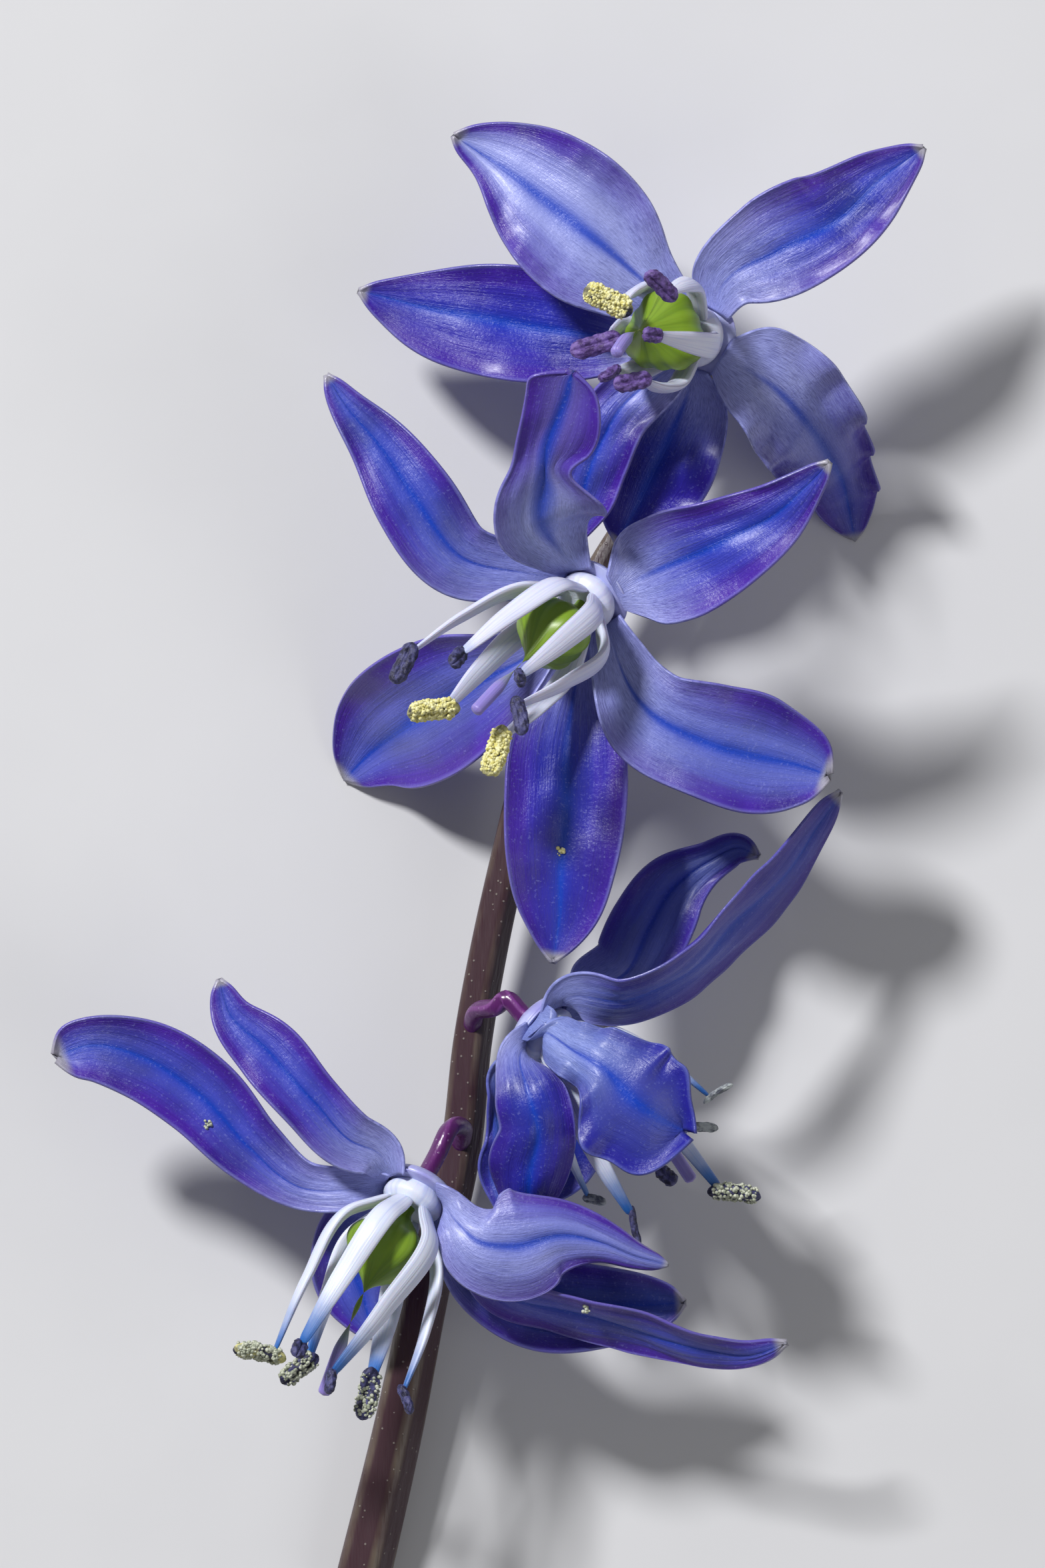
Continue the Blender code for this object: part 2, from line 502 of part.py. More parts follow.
def make_stem(flowers):
    top = flowers[0]
    centre, axis = np.asarray(top["centre"]), unit(np.asarray(top["faces"]))
    ends = [(*(centre + axis * (STALK_END - step)), STALK_RADIUS) for step in (0.8, 0.0)]
    rows = [*STEM, *ends]
    pieces = [make_tube("scape", smooth(rows, 24), 10)]
    for flower in flowers[1:]:
        centre, axis = np.asarray(flower["centre"]), unit(np.asarray(flower["faces"]))
        near_end = centre + axis * (STALK_END - 0.8)
        path = [*flower["stalk"], tuple(near_end), tuple(centre + axis * STALK_END)]
        rows = smooth([(*point, STALK_RADIUS) for point in path], 9)
        pieces.append(make_tube(flower["name"] + "_stalk", rows, 8))
    body = fuse("stem", pieces, make_material("stem_purple", STEM_PURPLE))
    cut_at_floor(body)
    return body


def build():
    for old in list(bpy.data.objects):
        bpy.data.objects.remove(old)
    make_stem(FLOWERS)
    for flower in FLOWERS:
        centre, axis = np.asarray(flower["centre"]), unit(np.asarray(flower["faces"]))
        make_perianth(flower, centre, axis)
        make_stamens(flower, centre, axis)
        make_pistil(flower, centre, axis)


build()
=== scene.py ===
import math

import bpy
import numpy as np
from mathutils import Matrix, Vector


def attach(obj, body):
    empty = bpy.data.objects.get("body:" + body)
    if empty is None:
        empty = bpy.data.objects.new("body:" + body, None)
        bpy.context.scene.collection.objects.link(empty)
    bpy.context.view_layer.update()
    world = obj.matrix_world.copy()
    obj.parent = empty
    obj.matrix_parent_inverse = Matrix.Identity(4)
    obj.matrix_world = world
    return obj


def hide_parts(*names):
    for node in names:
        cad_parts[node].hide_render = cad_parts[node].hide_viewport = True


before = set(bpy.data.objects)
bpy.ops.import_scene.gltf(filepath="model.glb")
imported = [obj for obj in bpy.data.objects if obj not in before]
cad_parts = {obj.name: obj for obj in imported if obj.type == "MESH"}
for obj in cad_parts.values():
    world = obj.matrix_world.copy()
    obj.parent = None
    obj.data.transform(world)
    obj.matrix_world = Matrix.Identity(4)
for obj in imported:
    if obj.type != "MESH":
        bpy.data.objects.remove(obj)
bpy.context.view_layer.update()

mm = 0.001
up = np.array([0.0, 0.0, 1.0])
shift = np.array([0.03, 0.2, 0.0])  # as in the part: the plant's middle stands over the origin
print("frame loaded")

# The photograph's frame, seen straight from above
view = {
    "photoHeight": 2352,
    "pixelsPerMm": 32.5,
    "centrePixel": (784, 1176),
    "originPixel": (733, 1290),
    "distance": 1.0,
    "focusHeight": 9.0,
    "sensor": 36.0,
}

# Blades: fineness, thickness in mm and the small relief that every tepal has
blade = {
    "long": 110,
    "across": 37,
    "thickness": 0.34,
    "edgeThinning": 0.6,
    "clawRadius": 1.5,
    "clawHalfWidth": 0.95,
    "veinGroove": 0.16,
    "veinWidth": 0.1,
    "pleat": 0.02,
    "pleats": 7,
    "rim": 0.18,
    "rimStart": 0.82,
    "ruffle": 0.08,
    "furrow": 0.06,
    "furrowPlace": 0.36,
    "furrowWidth": 0.09,
    "dimple": 0.15,
    "easing": 14,
    "seed": 7,
}

# What a tepal and a stamen have where the lists below say nothing else. "pale" bleaches a tepal, "teal"
# greens its blue and "deep" darkens it. "reach" is how far the pale base runs, "vein" how broad the blue
# vein is, and "violet" tints the outer half. "ruffle", "ragged", "flare" and "hood" shape the margins and
# the tip, and "callus" is the tip's grey spot.
plainTepal = {
    "pale": 0.0,
    "teal": 0.0,
    "hood": 0.0,
    "deep": 0.0,
    "reach": 0.28,
    "vein": 1.0,
    "violet": 0.0,
    "callus": 0.8,
    "ruffle": 0.0,
    "ragged": 0.0,
    "flare": 0.0,
}
plainStamen = {
    "pollen": 0.0,
    "size": 1.0,
    "slim": 1.0,
    "grey": False,
}

# Flowers, in millimetres. A tepal's stations are the midrib's place, half widths to the left and right
# and roll in degrees, measured from the flower's centre. "crumb" is where pollen has fallen on it, as
# shares of its length and of its width. A stamen's "turn" is where it stands round the axis, in degrees.
flowers = [
    {
        "name": "flower1",
        "centre": (9.75, 24.15, 8.2),
        "faces": (-0.5, 0.05, 0.865),
        "ovaryRadius": 1.9,
        "shoulderRadius": 2.3,
        "tepals": [
            # Its high paleness is partly the tepal's pale base and partly painted sheen
            {"name": "upperLeft", "cup": 0.25, "wave": 0.15, "pale": 0.9, "hood": 0.9, "reach": 0.6,
             "ruffle": 0.2, "stations": [
                (-2.2, 2.3, 0.2, 1.9, 1.5, 0), (-4.6, 4.3, 0.8, 3.2, 3.1, 0),
                (-7.3, 6.4, 0.4, 2.7, 3.2, 0), (-9.7, 8.2, -0.4, 1.0, 2.0, 0),
                (-11.2, 9.2, -1.0, 0.4, 0.5, 0)]},
            {"name": "left", "cup": 0.2, "wave": 0.08, "hood": 0.5, "deep": 0.4, "reach": 0.15,
             "stations": [
                (-3.1, -0.1, -1.5, 1.4, 1.3, 0), (-6.5, 0.3, -2.0, 2.4, 2.6, 0),
                (-9.5, 0.8, -2.4, 2.6, 2.6, 0), (-12.9, 1.5, -3.1, 2.0, 1.6, 0),
                (-15.7, 2.2, -3.6, 0.35, 0.3, 0)]},
            {"name": "upperRight", "cup": 0.2, "wave": 0.1, "hood": 0.6, "reach": 0.45, "stations": [
                (1.2, 2.5, 0.9, 1.7, 1.4, 0), (3.5, 3.9, 1.2, 2.6, 2.2, 0), (6.2, 5.2, 1.2, 2.6, 1.9, 0),
                (8.3, 7.2, 1.0, 1.5, 1.5, 0), (10.3, 8.7, 0.8, 0.35, 0.35, 0)]},
            {"name": "lowerRight", "cup": 0.1, "wave": 0.3, "pale": 0.25, "ruffle": 0.8, "deep": 0.4,
             "reach": 0.55, "ragged": 0.08, "stations": [
                (1.6, -1.2, 0.5, 1.8, 1.6, 0), (3.4, -2.3, 0.0, 2.6, 2.4, 0),
                (5.1, -4.1, -1.5, 2.5, 2.7, 0), (6.4, -6.0, -4.4, 1.8, 2.4, 0),
                (7.0, -7.7, -7.4, 1.2, 1.4, 0), (7.3, -9.3, -8.15, 0.45, 0.45, 0)]},
            {"name": "lower", "cup": 0.15, "wave": 0.1, "teal": 0.1, "hood": 0.3, "deep": 0.9,
             "reach": 0.35, "stations": [
                (-0.5, -2.4, -0.4, 1.7, 1.7, 0), (-1.4, -4.6, -1.4, 2.6, 2.6, 0),
                (-2.5, -6.9, -1.9, 2.5, 2.5, 0), (-3.2, -8.4, -2.1, 1.7, 1.7, 0),
                (-3.8, -9.5, -2.1, 0.4, 0.4, 0)]},
            {"name": "lowerLeft", "cup": 0.2, "wave": 0.1, "pale": 0.1, "hood": 0.3, "stations": [
                (-1.9, -1.8, 0.2, 1.3, 1.3, 0), (-3.8, -3.5, 0.2, 1.5, 1.5, 0),
                (-4.9, -5.7, 0.0, 1.6, 1.6, 0), (-5.6, -7.8, -0.5, 1.4, 1.4, 0),
                (-6.0, -9.6, -0.8, 0.35, 0.35, 0)]},
        ],
        "stamens": [
            {"turn": 125, "end": (-3.7, 1.3, 5.6), "anther": (-1.0, 0.5, 0.2), "pollen": 1.0},
            {"turn": 65, "end": (-1.5, 1.9, 7.6), "anther": (-0.6, 0.6, 0.5), "size": 0.85},
            {"turn": 180, "end": (-4.2, -0.3, 5.2), "anther": (-1.0, -0.3, 0.1)},
            {"turn": 230, "end": (-4.0, -1.7, 5.2), "anther": (-0.4, -0.3, 1.0), "size": 0.7},
            {"turn": 285, "end": (-2.7, -2.1, 6.4), "anther": (-1.0, -0.2, 0.3), "size": 0.75},
            {"turn": 350, "end": (-2.0, -0.1, 7.9), "anther": (-0.8, 0.1, 0.6), "size": 0.45},
        ],
        "style": (-3.9, -0.9, 7.9),
    },
    {
        "name": "flower2",
        "centre": (4.77, 12.2, 9.6),
        "faces": (-0.55, -0.53, 0.645),
        "ovaryRadius": 1.75,
        "shoulderRadius": 2.4,
        "stalk": [(2.9, 7.6, 3.7), (4.6, 10.4, 4.6), (5.7, 12.6, 6.6)],
        "tepals": [
            {"name": "upperLeft", "cup": 0.25, "wave": 0.12, "pale": 0.1, "teal": 0.1, "hood": 0.4,
             "reach": 0.4, "stations": [
                (-3.3, 1.1, 0.1, 1.3, 1.2, 0), (-6.1, 1.8, 0.8, 1.9, 1.6, 0),
                (-8.0, 4.3, 1.1, 2.0, 1.8, 0), (-9.9, 7.0, 0.6, 1.3, 1.4, 0),
                (-11.5, 9.0, 0.1, 0.7, 0.7, 0), (-12.2, 10.1, -0.3, 0.3, 0.3, 0)]},
            {"name": "upper", "cup": 0.2, "wave": 0.1, "pale": 1.0, "hood": 0.3, "reach": 0.6,
             "vein": 2.2, "violet": 0.8, "callus": 0.0, "stations": [
                (-1.6, 2.2, 1.3, 1.3, 1.5, 0), (-2.4, 3.6, 3.5, 2.2, 2.9, 0),
                (-2.3, 4.8, 4.6, 2.0, 2.8, 0), (-2.2, 5.8, 5.3, 1.5, 1.1, 0),
                (-2.1, 6.7, 5.8, 1.4, 1.8, 0), (-1.6, 8.1, 6.6, 1.6, 2.1, 0),
                (-1.1, 9.4, 7.2, 1.9, 1.5, 0), (-0.9, 10.2, 7.5, 1.9, 0.8, 0)]},
            {"name": "upperRight", "cup": 0.2, "wave": 0.15, "pale": 0.05, "hood": 0.4, "stations": [
                (1.9, 0.6, 1.0, 1.9, 1.9, 0), (3.8, 1.5, 2.0, 2.4, 2.7, 0), (6.1, 2.5, 3.0, 2.0, 2.4, 0),
                (8.4, 3.7, 3.8, 1.5, 1.6, 0), (9.9, 5.0, 4.3, 0.9, 0.8, 0), (10.9, 6.1, 4.6, 0.3, 0.3, 0)]},
            {"name": "lowerRight", "cup": 0.25, "wave": 0.15, "pale": 0.3, "teal": 0.1, "hood": 0.7,
             "reach": 0.6, "stations": [
                (1.1, -2.7, 0.2, 1.3, 1.2, 0), (2.7, -5.4, 0.6, 2.1, 2.4, 0),
                (5.3, -6.8, 0.5, 2.8, 2.5, 0), (7.9, -7.5, 0.2, 2.8, 2.6, 0),
                (9.8, -7.9, 0.0, 1.9, 1.9, 0), (10.9, -8.3, -0.3, 1.0, 1.0, 0)]},
            {"name": "lower", "cup": 0.2, "wave": 0.08, "hood": 0.3, "deep": 0.3, "crumb": (0.68, 0.5),
             "stations": [
                (-0.6, -3.3, -1.1, 1.3, 1.2, 0), (-1.1, -6.6, -0.9, 2.6, 2.6, 0),
                (-1.2, -9.4, -0.6, 2.8, 2.8, 0), (-1.4, -12.5, -0.4, 2.5, 2.5, 0),
                (-1.5, -14.8, -0.6, 1.8, 1.8, 0), (-1.8, -16.9, -0.8, 0.35, 0.35, 0)]},
            {"name": "lowerLeft", "cup": 0.3, "wave": 0.12, "pale": 0.25, "stations": [
                (-2.7, -2.6, -1.4, 1.4, 1.4, 0), (-5.6, -4.2, -3.4, 2.9, 2.9, 0),
                (-8.1, -5.7, -5.6, 3.0, 3.2, 0), (-10.2, -7.2, -8.6, 1.8, 2.2, 0),
                (-11.5, -8.5, -9.5, 0.7, 0.7, 0)]},
        ],
        "stamens": [
            {"turn": 95, "end": (-8.4, -2.7, 3.9), "anther": (-0.5, -1.0, 0.2), "size": 0.85},
            {"turn": 35, "end": (-6.0, -2.7, 5.7), "anther": (-0.4, -0.5, 0.9), "size": 0.6},
            {"turn": 345, "end": (-3.3, -3.7, 7.2), "anther": (0.0, -0.4, 1.0), "size": 0.5},
            {"turn": 290, "end": (-3.4, -5.1, 5.8), "anther": (0.2, -1.0, 0.2), "size": 0.75},
            {"turn": 155, "end": (-6.7, -5.2, 3.0), "anther": (-1.0, -0.1, 0.2), "pollen": 1.0},
            {"turn": 225, "end": (-4.2, -6.6, 3.9), "anther": (-0.3, -1.0, 0.2), "pollen": 1.0},
        ],
        "style": (-5.4, -5.4, 5.7),
    },
    {
        "name": "flower3",
        "centre": (2.43, -7.85, 6.8),
        "faces": (0.75, -0.6, 0.28),
        "ovaryRadius": 1.3,
        "shoulderRadius": 1.95,
        "stalk": [(-0.8, -8.1, 3.0), (-0.5, -7.0, 4.8), (0.5, -6.7, 6.0)],
        "tepals": [
            {"name": "arching", "cup": 0.05, "wave": 0.1, "teal": 0.2, "hood": 0.2, "deep": 0.5,
             "reach": 0.1, "stations": [
                (1.4, 1.6, 1.9, 1.2, 1.2, 30), (3.9, 1.4, 2.4, 1.8, 1.8, 55),
                (6.5, 2.5, 2.4, 2.0, 2.0, 60), (8.9, 4.9, 1.7, 2.0, 2.0, 60),
                (11.2, 7.3, 1.0, 1.7, 1.7, 55), (12.7, 9.4, 0.4, 1.0, 1.0, 45),
                (13.8, 11.0, -0.2, 0.35, 0.35, 30)]},
            {"name": "upper", "cup": 0.3, "wave": 0.12, "pale": 0.4, "teal": 0.35, "hood": 0.3,
             "stations": [
                (2.0, 1.6, -1.2, 1.4, 1.4, 0), (3.9, 2.6, -1.7, 1.8, 1.8, 0),
                (5.0, 4.6, -1.9, 1.9, 1.9, 0), (6.2, 6.6, -2.0, 1.6, 1.6, 0),
                (7.9, 7.8, -1.9, 0.9, 0.9, 0), (9.3, 8.4, -1.6, 0.7, 0.7, 0),
                (10.1, 8.0, -1.3, 0.35, 0.35, 0)]},
            {"name": "front", "cup": -0.3, "wave": 0.25, "pale": 0.7, "teal": 0.8, "ruffle": 0.5,
             "deep": 1.0, "reach": 0.55, "ragged": 0.12, "flare": 1.3, "callus": 0.0, "stations": [
                (1.0, -0.6, 3.4, 1.3, 1.3, 0), (2.9, -1.8, 4.8, 2.1, 1.7, 0),
                (4.2, -3.1, 5.0, 2.9, 3.2, 0), (5.4, -4.0, 4.7, 2.2, 2.9, 0),
                (6.6, -4.6, 4.1, 0.7, 1.1, 0)]},
            {"name": "frontLeft", "cup": -0.3, "wave": 0.12, "teal": 0.1, "deep": 0.6, "reach": 0.2,
             "stations": [
                (-1.0, -1.6, 2.9, 1.1, 1.1, 0), (-0.6, -2.8, 3.7, 1.7, 1.6, 0),
                (-0.2, -4.5, 3.8, 1.8, 1.7, 0), (-0.5, -6.6, 3.0, 1.8, 2.0, 0),
                (-0.7, -8.2, 1.7, 1.2, 1.2, 0), (-0.8, -9.3, 0.7, 0.4, 0.4, 0)]},
            {"name": "left", "cup": 0.1, "wave": 0.1, "pale": 0.2, "teal": 0.7, "hood": 0.2, "deep": 0.4,
             "reach": 0.15, "stations": [
                (-1.6, -1.8, -0.4, 1.1, 0.9, -30), (-1.8, -3.2, -0.8, 1.3, 0.9, -30),
                (-1.6, -4.8, -1.0, 1.5, 1.0, -20), (-1.6, -6.4, -1.1, 1.4, 1.3, 0),
                (-1.4, -7.9, -1.1, 0.9, 0.9, 0), (-1.3, -9.2, -1.1, 0.35, 0.35, 0)]},
            {"name": "back", "cup": 0.3, "wave": 0.1, "teal": 0.8, "hood": 0.2, "deep": 0.7,
             "reach": 0.15, "stations": [
                (0.6, -1.3, -2.5, 1.3, 1.3, 0), (1.2, -2.7, -3.6, 1.8, 1.8, 0),
                (0.9, -4.7, -4.2, 2.2, 2.0, 0), (0.2, -6.5, -4.4, 1.9, 1.7, 0),
                (-0.8, -8.3, -4.4, 0.4, 0.4, 0)]},
        ],
        "stamens": [
            {"turn": 270, "end": (7.8, -3.1, 1.5), "anther": (0.9, 0.6, 0.1), "size": 0.65, "slim": 0.55,
             "grey": True},
            {"turn": 215, "end": (6.9, -4.5, 0.2), "anther": (1.0, 0.0, -0.2), "size": 0.7, "slim": 0.7,
             "grey": True},
            {"turn": 325, "end": (8.3, -7.4, 2.4), "anther": (1.0, -0.1, 0.1), "pollen": 0.5},
            {"turn": 35, "end": (4.2, -8.6, 1.2), "anther": (0.2, -1.0, 0.0), "size": 0.75, "slim": 0.55},
            {"turn": 95, "end": (2.2, -7.8, -0.6), "anther": (0.8, -0.2, 0.0), "size": 0.45, "slim": 0.8,
             "grey": True},
            {"turn": 155, "end": (5.6, -6.6, -1.3), "anther": (0.7, -0.6, 0.0), "size": 0.45},
        ],
        "style": (7.0, -7.0, 0.9),
    },
    {
        "name": "flower4",
        "centre": (-3.32, -15.38, 8.2),
        "faces": (-0.43, -0.8, 0.42),
        "ovaryRadius": 1.75,
        "shoulderRadius": 2.4,
        "stalk": [(-1.4, -13.6, 2.8), (-1.2, -12.4, 5.0), (-1.9, -12.6, 6.9)],
        "tepals": [
            {"name": "farLeft", "cup": 0.25, "wave": 0.1, "pale": 0.1, "hood": 0.8, "crumb": (0.52, 0.4),
             "stations": [
                (-2.6, 0.2, 0.0, 1.0, 1.0, 0), (-5.2, 0.2, -0.4, 1.0, 1.2, 0),
                (-7.7, 2.0, -0.7, 1.5, 1.6, 0), (-10.0, 4.5, -0.7, 1.9, 1.9, 0),
                (-12.6, 6.2, -0.6, 1.9, 1.8, 0), (-15.2, 6.8, -0.7, 1.6, 1.3, 0),
                (-16.6, 6.3, -1.1, 1.2, 1.2, 0)]},
            {"name": "upperLeft", "cup": 0.25, "wave": 0.1, "pale": 0.1, "hood": 0.3, "stations": [
                (-1.7, 1.8, 1.0, 1.1, 1.1, 0), (-3.1, 2.5, 1.4, 1.4, 1.3, 0),
                (-4.8, 4.3, 1.5, 1.5, 1.3, 0), (-6.8, 6.5, 1.2, 1.5, 1.5, 0),
                (-8.6, 8.3, 0.7, 0.9, 0.9, 0), (-9.1, 9.8, 0.3, 0.35, 0.35, 0)]},
            {"name": "back", "cup": 0.2, "wave": 0.1, "pale": 0.15, "teal": 0.1, "hood": 0.2,
             "stations": [
                (-1.5, -0.7, -1.9, 1.3, 1.3, 0), (-2.6, -1.7, -2.9, 1.8, 1.8, 0),
                (-2.9, -3.3, -3.4, 2.0, 2.0, 0), (-2.5, -5.0, -3.6, 1.7, 1.7, 0),
                (-1.9, -6.8, -3.7, 0.45, 0.45, 0)]},
            {"name": "right", "cup": -0.2, "wave": 0.15, "pale": 0.55, "reach": 0.5, "stations": [
                (1.8, -1.2, 2.2, 1.1, 1.1, 0), (2.9, -2.2, 2.8, 2.0, 2.2, 0),
                (4.5, -2.4, 2.8, 2.7, 2.6, 0), (6.6, -1.9, 2.6, 1.7, 1.9, 0),
                (8.6, -2.3, 2.2, 1.1, 0.9, 0), (10.2, -2.9, 1.8, 0.6, 0.6, 0),
                (11.6, -3.3, 1.4, 0.3, 0.3, 0)]},
            {"name": "lowerRight", "cup": 0.2, "wave": 0.12, "pale": 0.1, "teal": 0.3, "hood": 0.2,
             "stations": [
                (1.7, -2.0, -0.9, 1.2, 1.2, 0), (3.0, -3.9, -1.2, 1.7, 1.6, 0),
                (5.4, -5.1, -1.3, 2.1, 2.1, 0), (8.5, -5.3, -1.3, 1.9, 1.9, 0),
                (10.6, -5.2, -1.3, 1.4, 1.4, 0), (12.4, -5.1, -1.3, 0.6, 0.6, 0)]},
            {"name": "edgeOn", "cup": 0.1, "wave": 0.03, "pale": 0.1, "hood": 0.2, "reach": 0.15,
             "crumb": (0.47, 0.3), "stations": [
                (2.4, -2.4, 0.3, 1.0, 1.0, 30), (4.0, -4.5, 0.6, 1.4, 1.4, 45),
                (6.6, -5.4, 0.7, 1.5, 1.5, 50), (10.3, -6.3, 0.6, 1.4, 1.4, 50),
                (13.4, -7.2, 0.4, 1.1, 1.1, 45), (15.4, -7.4, 0.3, 0.7, 0.7, 30),
                (17.1, -6.9, 0.4, 0.35, 0.35, 0)]},
        ],
        "stamens": [
            {"turn": 80, "end": (-6.6, -7.4, 2.4), "anther": (-1.0, 0.2, 0.1), "pollen": 0.6},
            {"turn": 20, "end": (-5.3, -6.9, 4.2), "anther": (-0.2, -0.5, 0.8), "size": 0.5},
            {"turn": 140, "end": (-5.0, -7.7, 2.3), "anther": (-0.8, -0.6, 0.0), "pollen": 0.4,
             "size": 0.85},
            {"turn": 320, "end": (-3.9, -8.3, 4.0), "anther": (-0.1, -1.0, 0.4), "size": 0.5},
            {"turn": 200, "end": (-2.1, -8.6, 2.2), "anther": (-0.2, -1.0, 0.0), "pollen": 0.3},
            {"turn": 260, "end": (-0.6, -9.1, 2.9), "anther": (0.4, -1.0, 0.2), "size": 0.6, "slim": 0.8},
        ],
        "style": (-4.3, -9.3, 1.9),
    },
]

# Filaments: flat ribbons from the collar over the ovary's shoulder to the anther
filament = {
    "long": 46,
    "around": 20,
    "ringRadius": 0.97,
    "ringHeight": 0.82,
    "shoulderHeight": 2.55,
    "halfWidths": (0.44, 0.58, 0.62, 0.52, 0.22),
    "flatness": 0.42,
    "bulge": 0.3,
}

# Anthers: two pollen sacs side by side with a slit between them
anther = {
    "long": 34,
    "around": 40,
    "length": 2.5,
    "radius": 0.4,
    "slit": 0.5,
    "slitWidth": 0.22,
    "wrinkle": 0.05,
    "section": (1.15, 0.8),
    "bend": 0.25,
}

# Pollen: grains on a ripe anther and in a fallen crumb, with their sizes in mm
pollen = {
    "grains": 700,
    "size": (0.04, 0.11),
    "rings": 5,
    "spokes": 7,
    "sunk": (-0.03, 0.06),
    "crumbGrains": 14,
    "crumbSpread": 0.11,
    "crumbShape": (1.0, 1.0, 0.4),
    "crumbHeight": 0.05,
    "seed": 11,
}

# Pistil: pairs of height along the flower's axis and share of the ovary's radius
pistil = {
    "profile": ((0.55, 0.2), (1.35, 0.2), (1.9, 0.52), (2.6, 0.9), (3.3, 1.0), (4.0, 0.85), (4.6, 0.5)),
    "styleRadius": 0.3,
    "lobe": 0.1,
    "rib": 0.03,
    "lobes": 3,
    "ribs": 12,
    "styleBend": 0.35,
    "neck": 0.6,
    "long": 110,
    "around": 66,
}

# The receptacle at the flower's back, as pairs of radius and height along the axis
receptacle = {
    "profile": ((0.45, -1.02), (1.15, -0.78), (1.68, -0.42), (1.72, -0.2), (1.4, -0.05), (0.2, 0.0)),
    "long": 24,
    "around": 48,
}

# The collar that the filaments grow from, as pairs of radius and height along the axis
collar = {
    "profile": ((1.2, -0.1), (1.42, 0.3), (1.3, 0.78), (1.0, 0.98), (0.62, 0.85)),
    "long": 18,
    "around": 48,
}

# The stem's middle line in mm with its radius, from the cut end upwards
stem = {
    "rows": [
        (-6.1, -34.2, 1.2, 1.34), (-4.3, -26.6, 1.75, 1.22), (-2.9, -19.9, 2.4, 1.1), (-1.3, -13.1, 2.8, 1.0),
        (-0.8, -8.5, 3.0, 0.95), (0.0, -4.0, 3.2, 0.92), (1.0, 0.5, 3.4, 0.9), (2.5, 6.5, 3.7, 0.85),
        (4.4, 12.0, 3.8, 0.75), (6.7, 16.0, 3.6, 0.65), (9.0, 19.6, 3.7, 0.55), (10.8, 22.6, 5.0, 0.48),
    ],
    "ridges": 5,
    "ridgeDepth": 0.055,
    "long": 420,
    "around": 60,
    "stalkRadius": 0.43,
    "stalkEnd": -0.98,
    "stalkRun": 1.32,
    "endRadius": 0.45,
    "stalkLong": 60,
    "stalkAround": 32,
    "stalkRidges": 4,
    "stalkRidgeDepth": 0.03,
}

# The cut face at the foot of the stem
cutFace = {
    "reach": 0.94,
    "proud": 0.02,
    "rings": 12,
}


# Vectors scaled to length 1
def unit(vectors):
    return vectors / np.linalg.norm(vectors, axis=-1, keepdims=True)


# A smooth curve through rows of numbers, spaced by the distance between their first three
def smoothRows(rows, count):
    rows = np.asarray(rows, float)
    gaps = np.linalg.norm(np.diff(rows[:, :3], axis=0), axis=1)
    along = np.concatenate([[0.0], np.cumsum(gaps)])
    slopes = np.gradient(rows, along, axis=0)
    places = np.linspace(0.0, along[-1], count)
    left = np.clip(np.searchsorted(along, places, side="right") - 1, 0, len(rows) - 2)
    span = (along[left + 1] - along[left])[:, None]
    t = (places - along[left])[:, None] / span
    return (
        rows[left] * (2 * t**3 - 3 * t**2 + 1)
        + slopes[left] * span * (t**3 - 2 * t**2 + t)
        + rows[left + 1] * (3 * t**2 - 2 * t**3)
        + slopes[left + 1] * span * (t**3 - t**2)
    )


# Faces of a grid that closes round its second direction, with a cap at each end
def wrapFaces(long, around):
    step = np.arange(long - 1)[:, None] * around
    here = np.arange(around)[None, :]
    after = (here + 1) % around
    quads = np.stack([step + here, step + after, step + around + after, step + around + here], axis=-1)
    caps = [list(range(around - 1, -1, -1)), list(range((long - 1) * around, long * around))]
    return quads.reshape(-1, 4).tolist() + caps


# A smooth piece from points in mm and faces, which stands for a node
def addPiece(name, points, faces, replaced, material):
    mesh = bpy.data.meshes.new(name)
    mesh.from_pydata(((points + shift) * mm).tolist(), [], faces)
    mesh.shade_smooth()
    mesh.materials.append(material)
    piece = bpy.data.objects.new(name, mesh)
    bpy.context.scene.collection.objects.link(piece)
    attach(piece, "root")
    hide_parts(replaced)
    return mesh


# A piece from a wrapped grid in mm. Its own UV map holds place across and place along.
def makePiece(name, grid, across, along, replaced, material):
    long, around = grid.shape[:2]
    mesh = addPiece(name, grid.reshape(-1, 3), wrapFaces(long, around), replaced, material)
    uv = np.stack(np.broadcast_arrays(across, along), axis=-1).reshape(-1, 2)
    corners = np.empty(len(mesh.loops), np.int32)
    mesh.loops.foreach_get("vertex_index", corners)
    layer = mesh.uv_layers.new(name="place")
    layer.data.foreach_set("uv", uv[corners].astype(np.float32).ravel())


# Even turns round a closed section, in radians
def turnsRound(count):
    return np.linspace(0, 2 * math.pi, count, endpoint=False)[None, :]


# Offsets are pairs along the side direction and square to it, for each row and each point round it
def sweep(path, side, offsets):
    heading = unit(np.gradient(path, axis=0))
    side = np.broadcast_to(side, path.shape)
    side = unit(side - heading * (heading * side).sum(axis=1, keepdims=True))
    across = np.cross(heading, side)
    return path[:, None] + side[:, None] * offsets[..., :1] + across[:, None] * offsets[..., 1:]


# Runs up from nearly 0 to 1 as a quarter circle within a share of each end
def roundEnds(count, share):
    place = np.linspace(0.0, 1.0, count)
    near = np.minimum(place, 1 - place) / share
    return np.sqrt(np.clip(1 - (1 - np.clip(near, 0, 1)) ** 2, 0.02, 1))


# Shader graphs: a node is made with its settings, and each named input takes a value or a link
def addNode(tree, kind, inputs=None, **settings):
    made = tree.nodes.new(kind)
    for key, value in settings.items():
        setattr(made, key, value)
    for key, value in (inputs or {}).items():
        if isinstance(value, bpy.types.NodeSocket):
            tree.links.new(value, made.inputs[key])
        else:
            made.inputs[key].default_value = value
    return made


# One sum of up to three values, each a number or a link
def mathNode(tree, operation, first, second=0.0, third=0.0):
    return addNode(tree, "ShaderNodeMath", {0: first, 1: second, 2: third}, operation=operation).outputs[0]


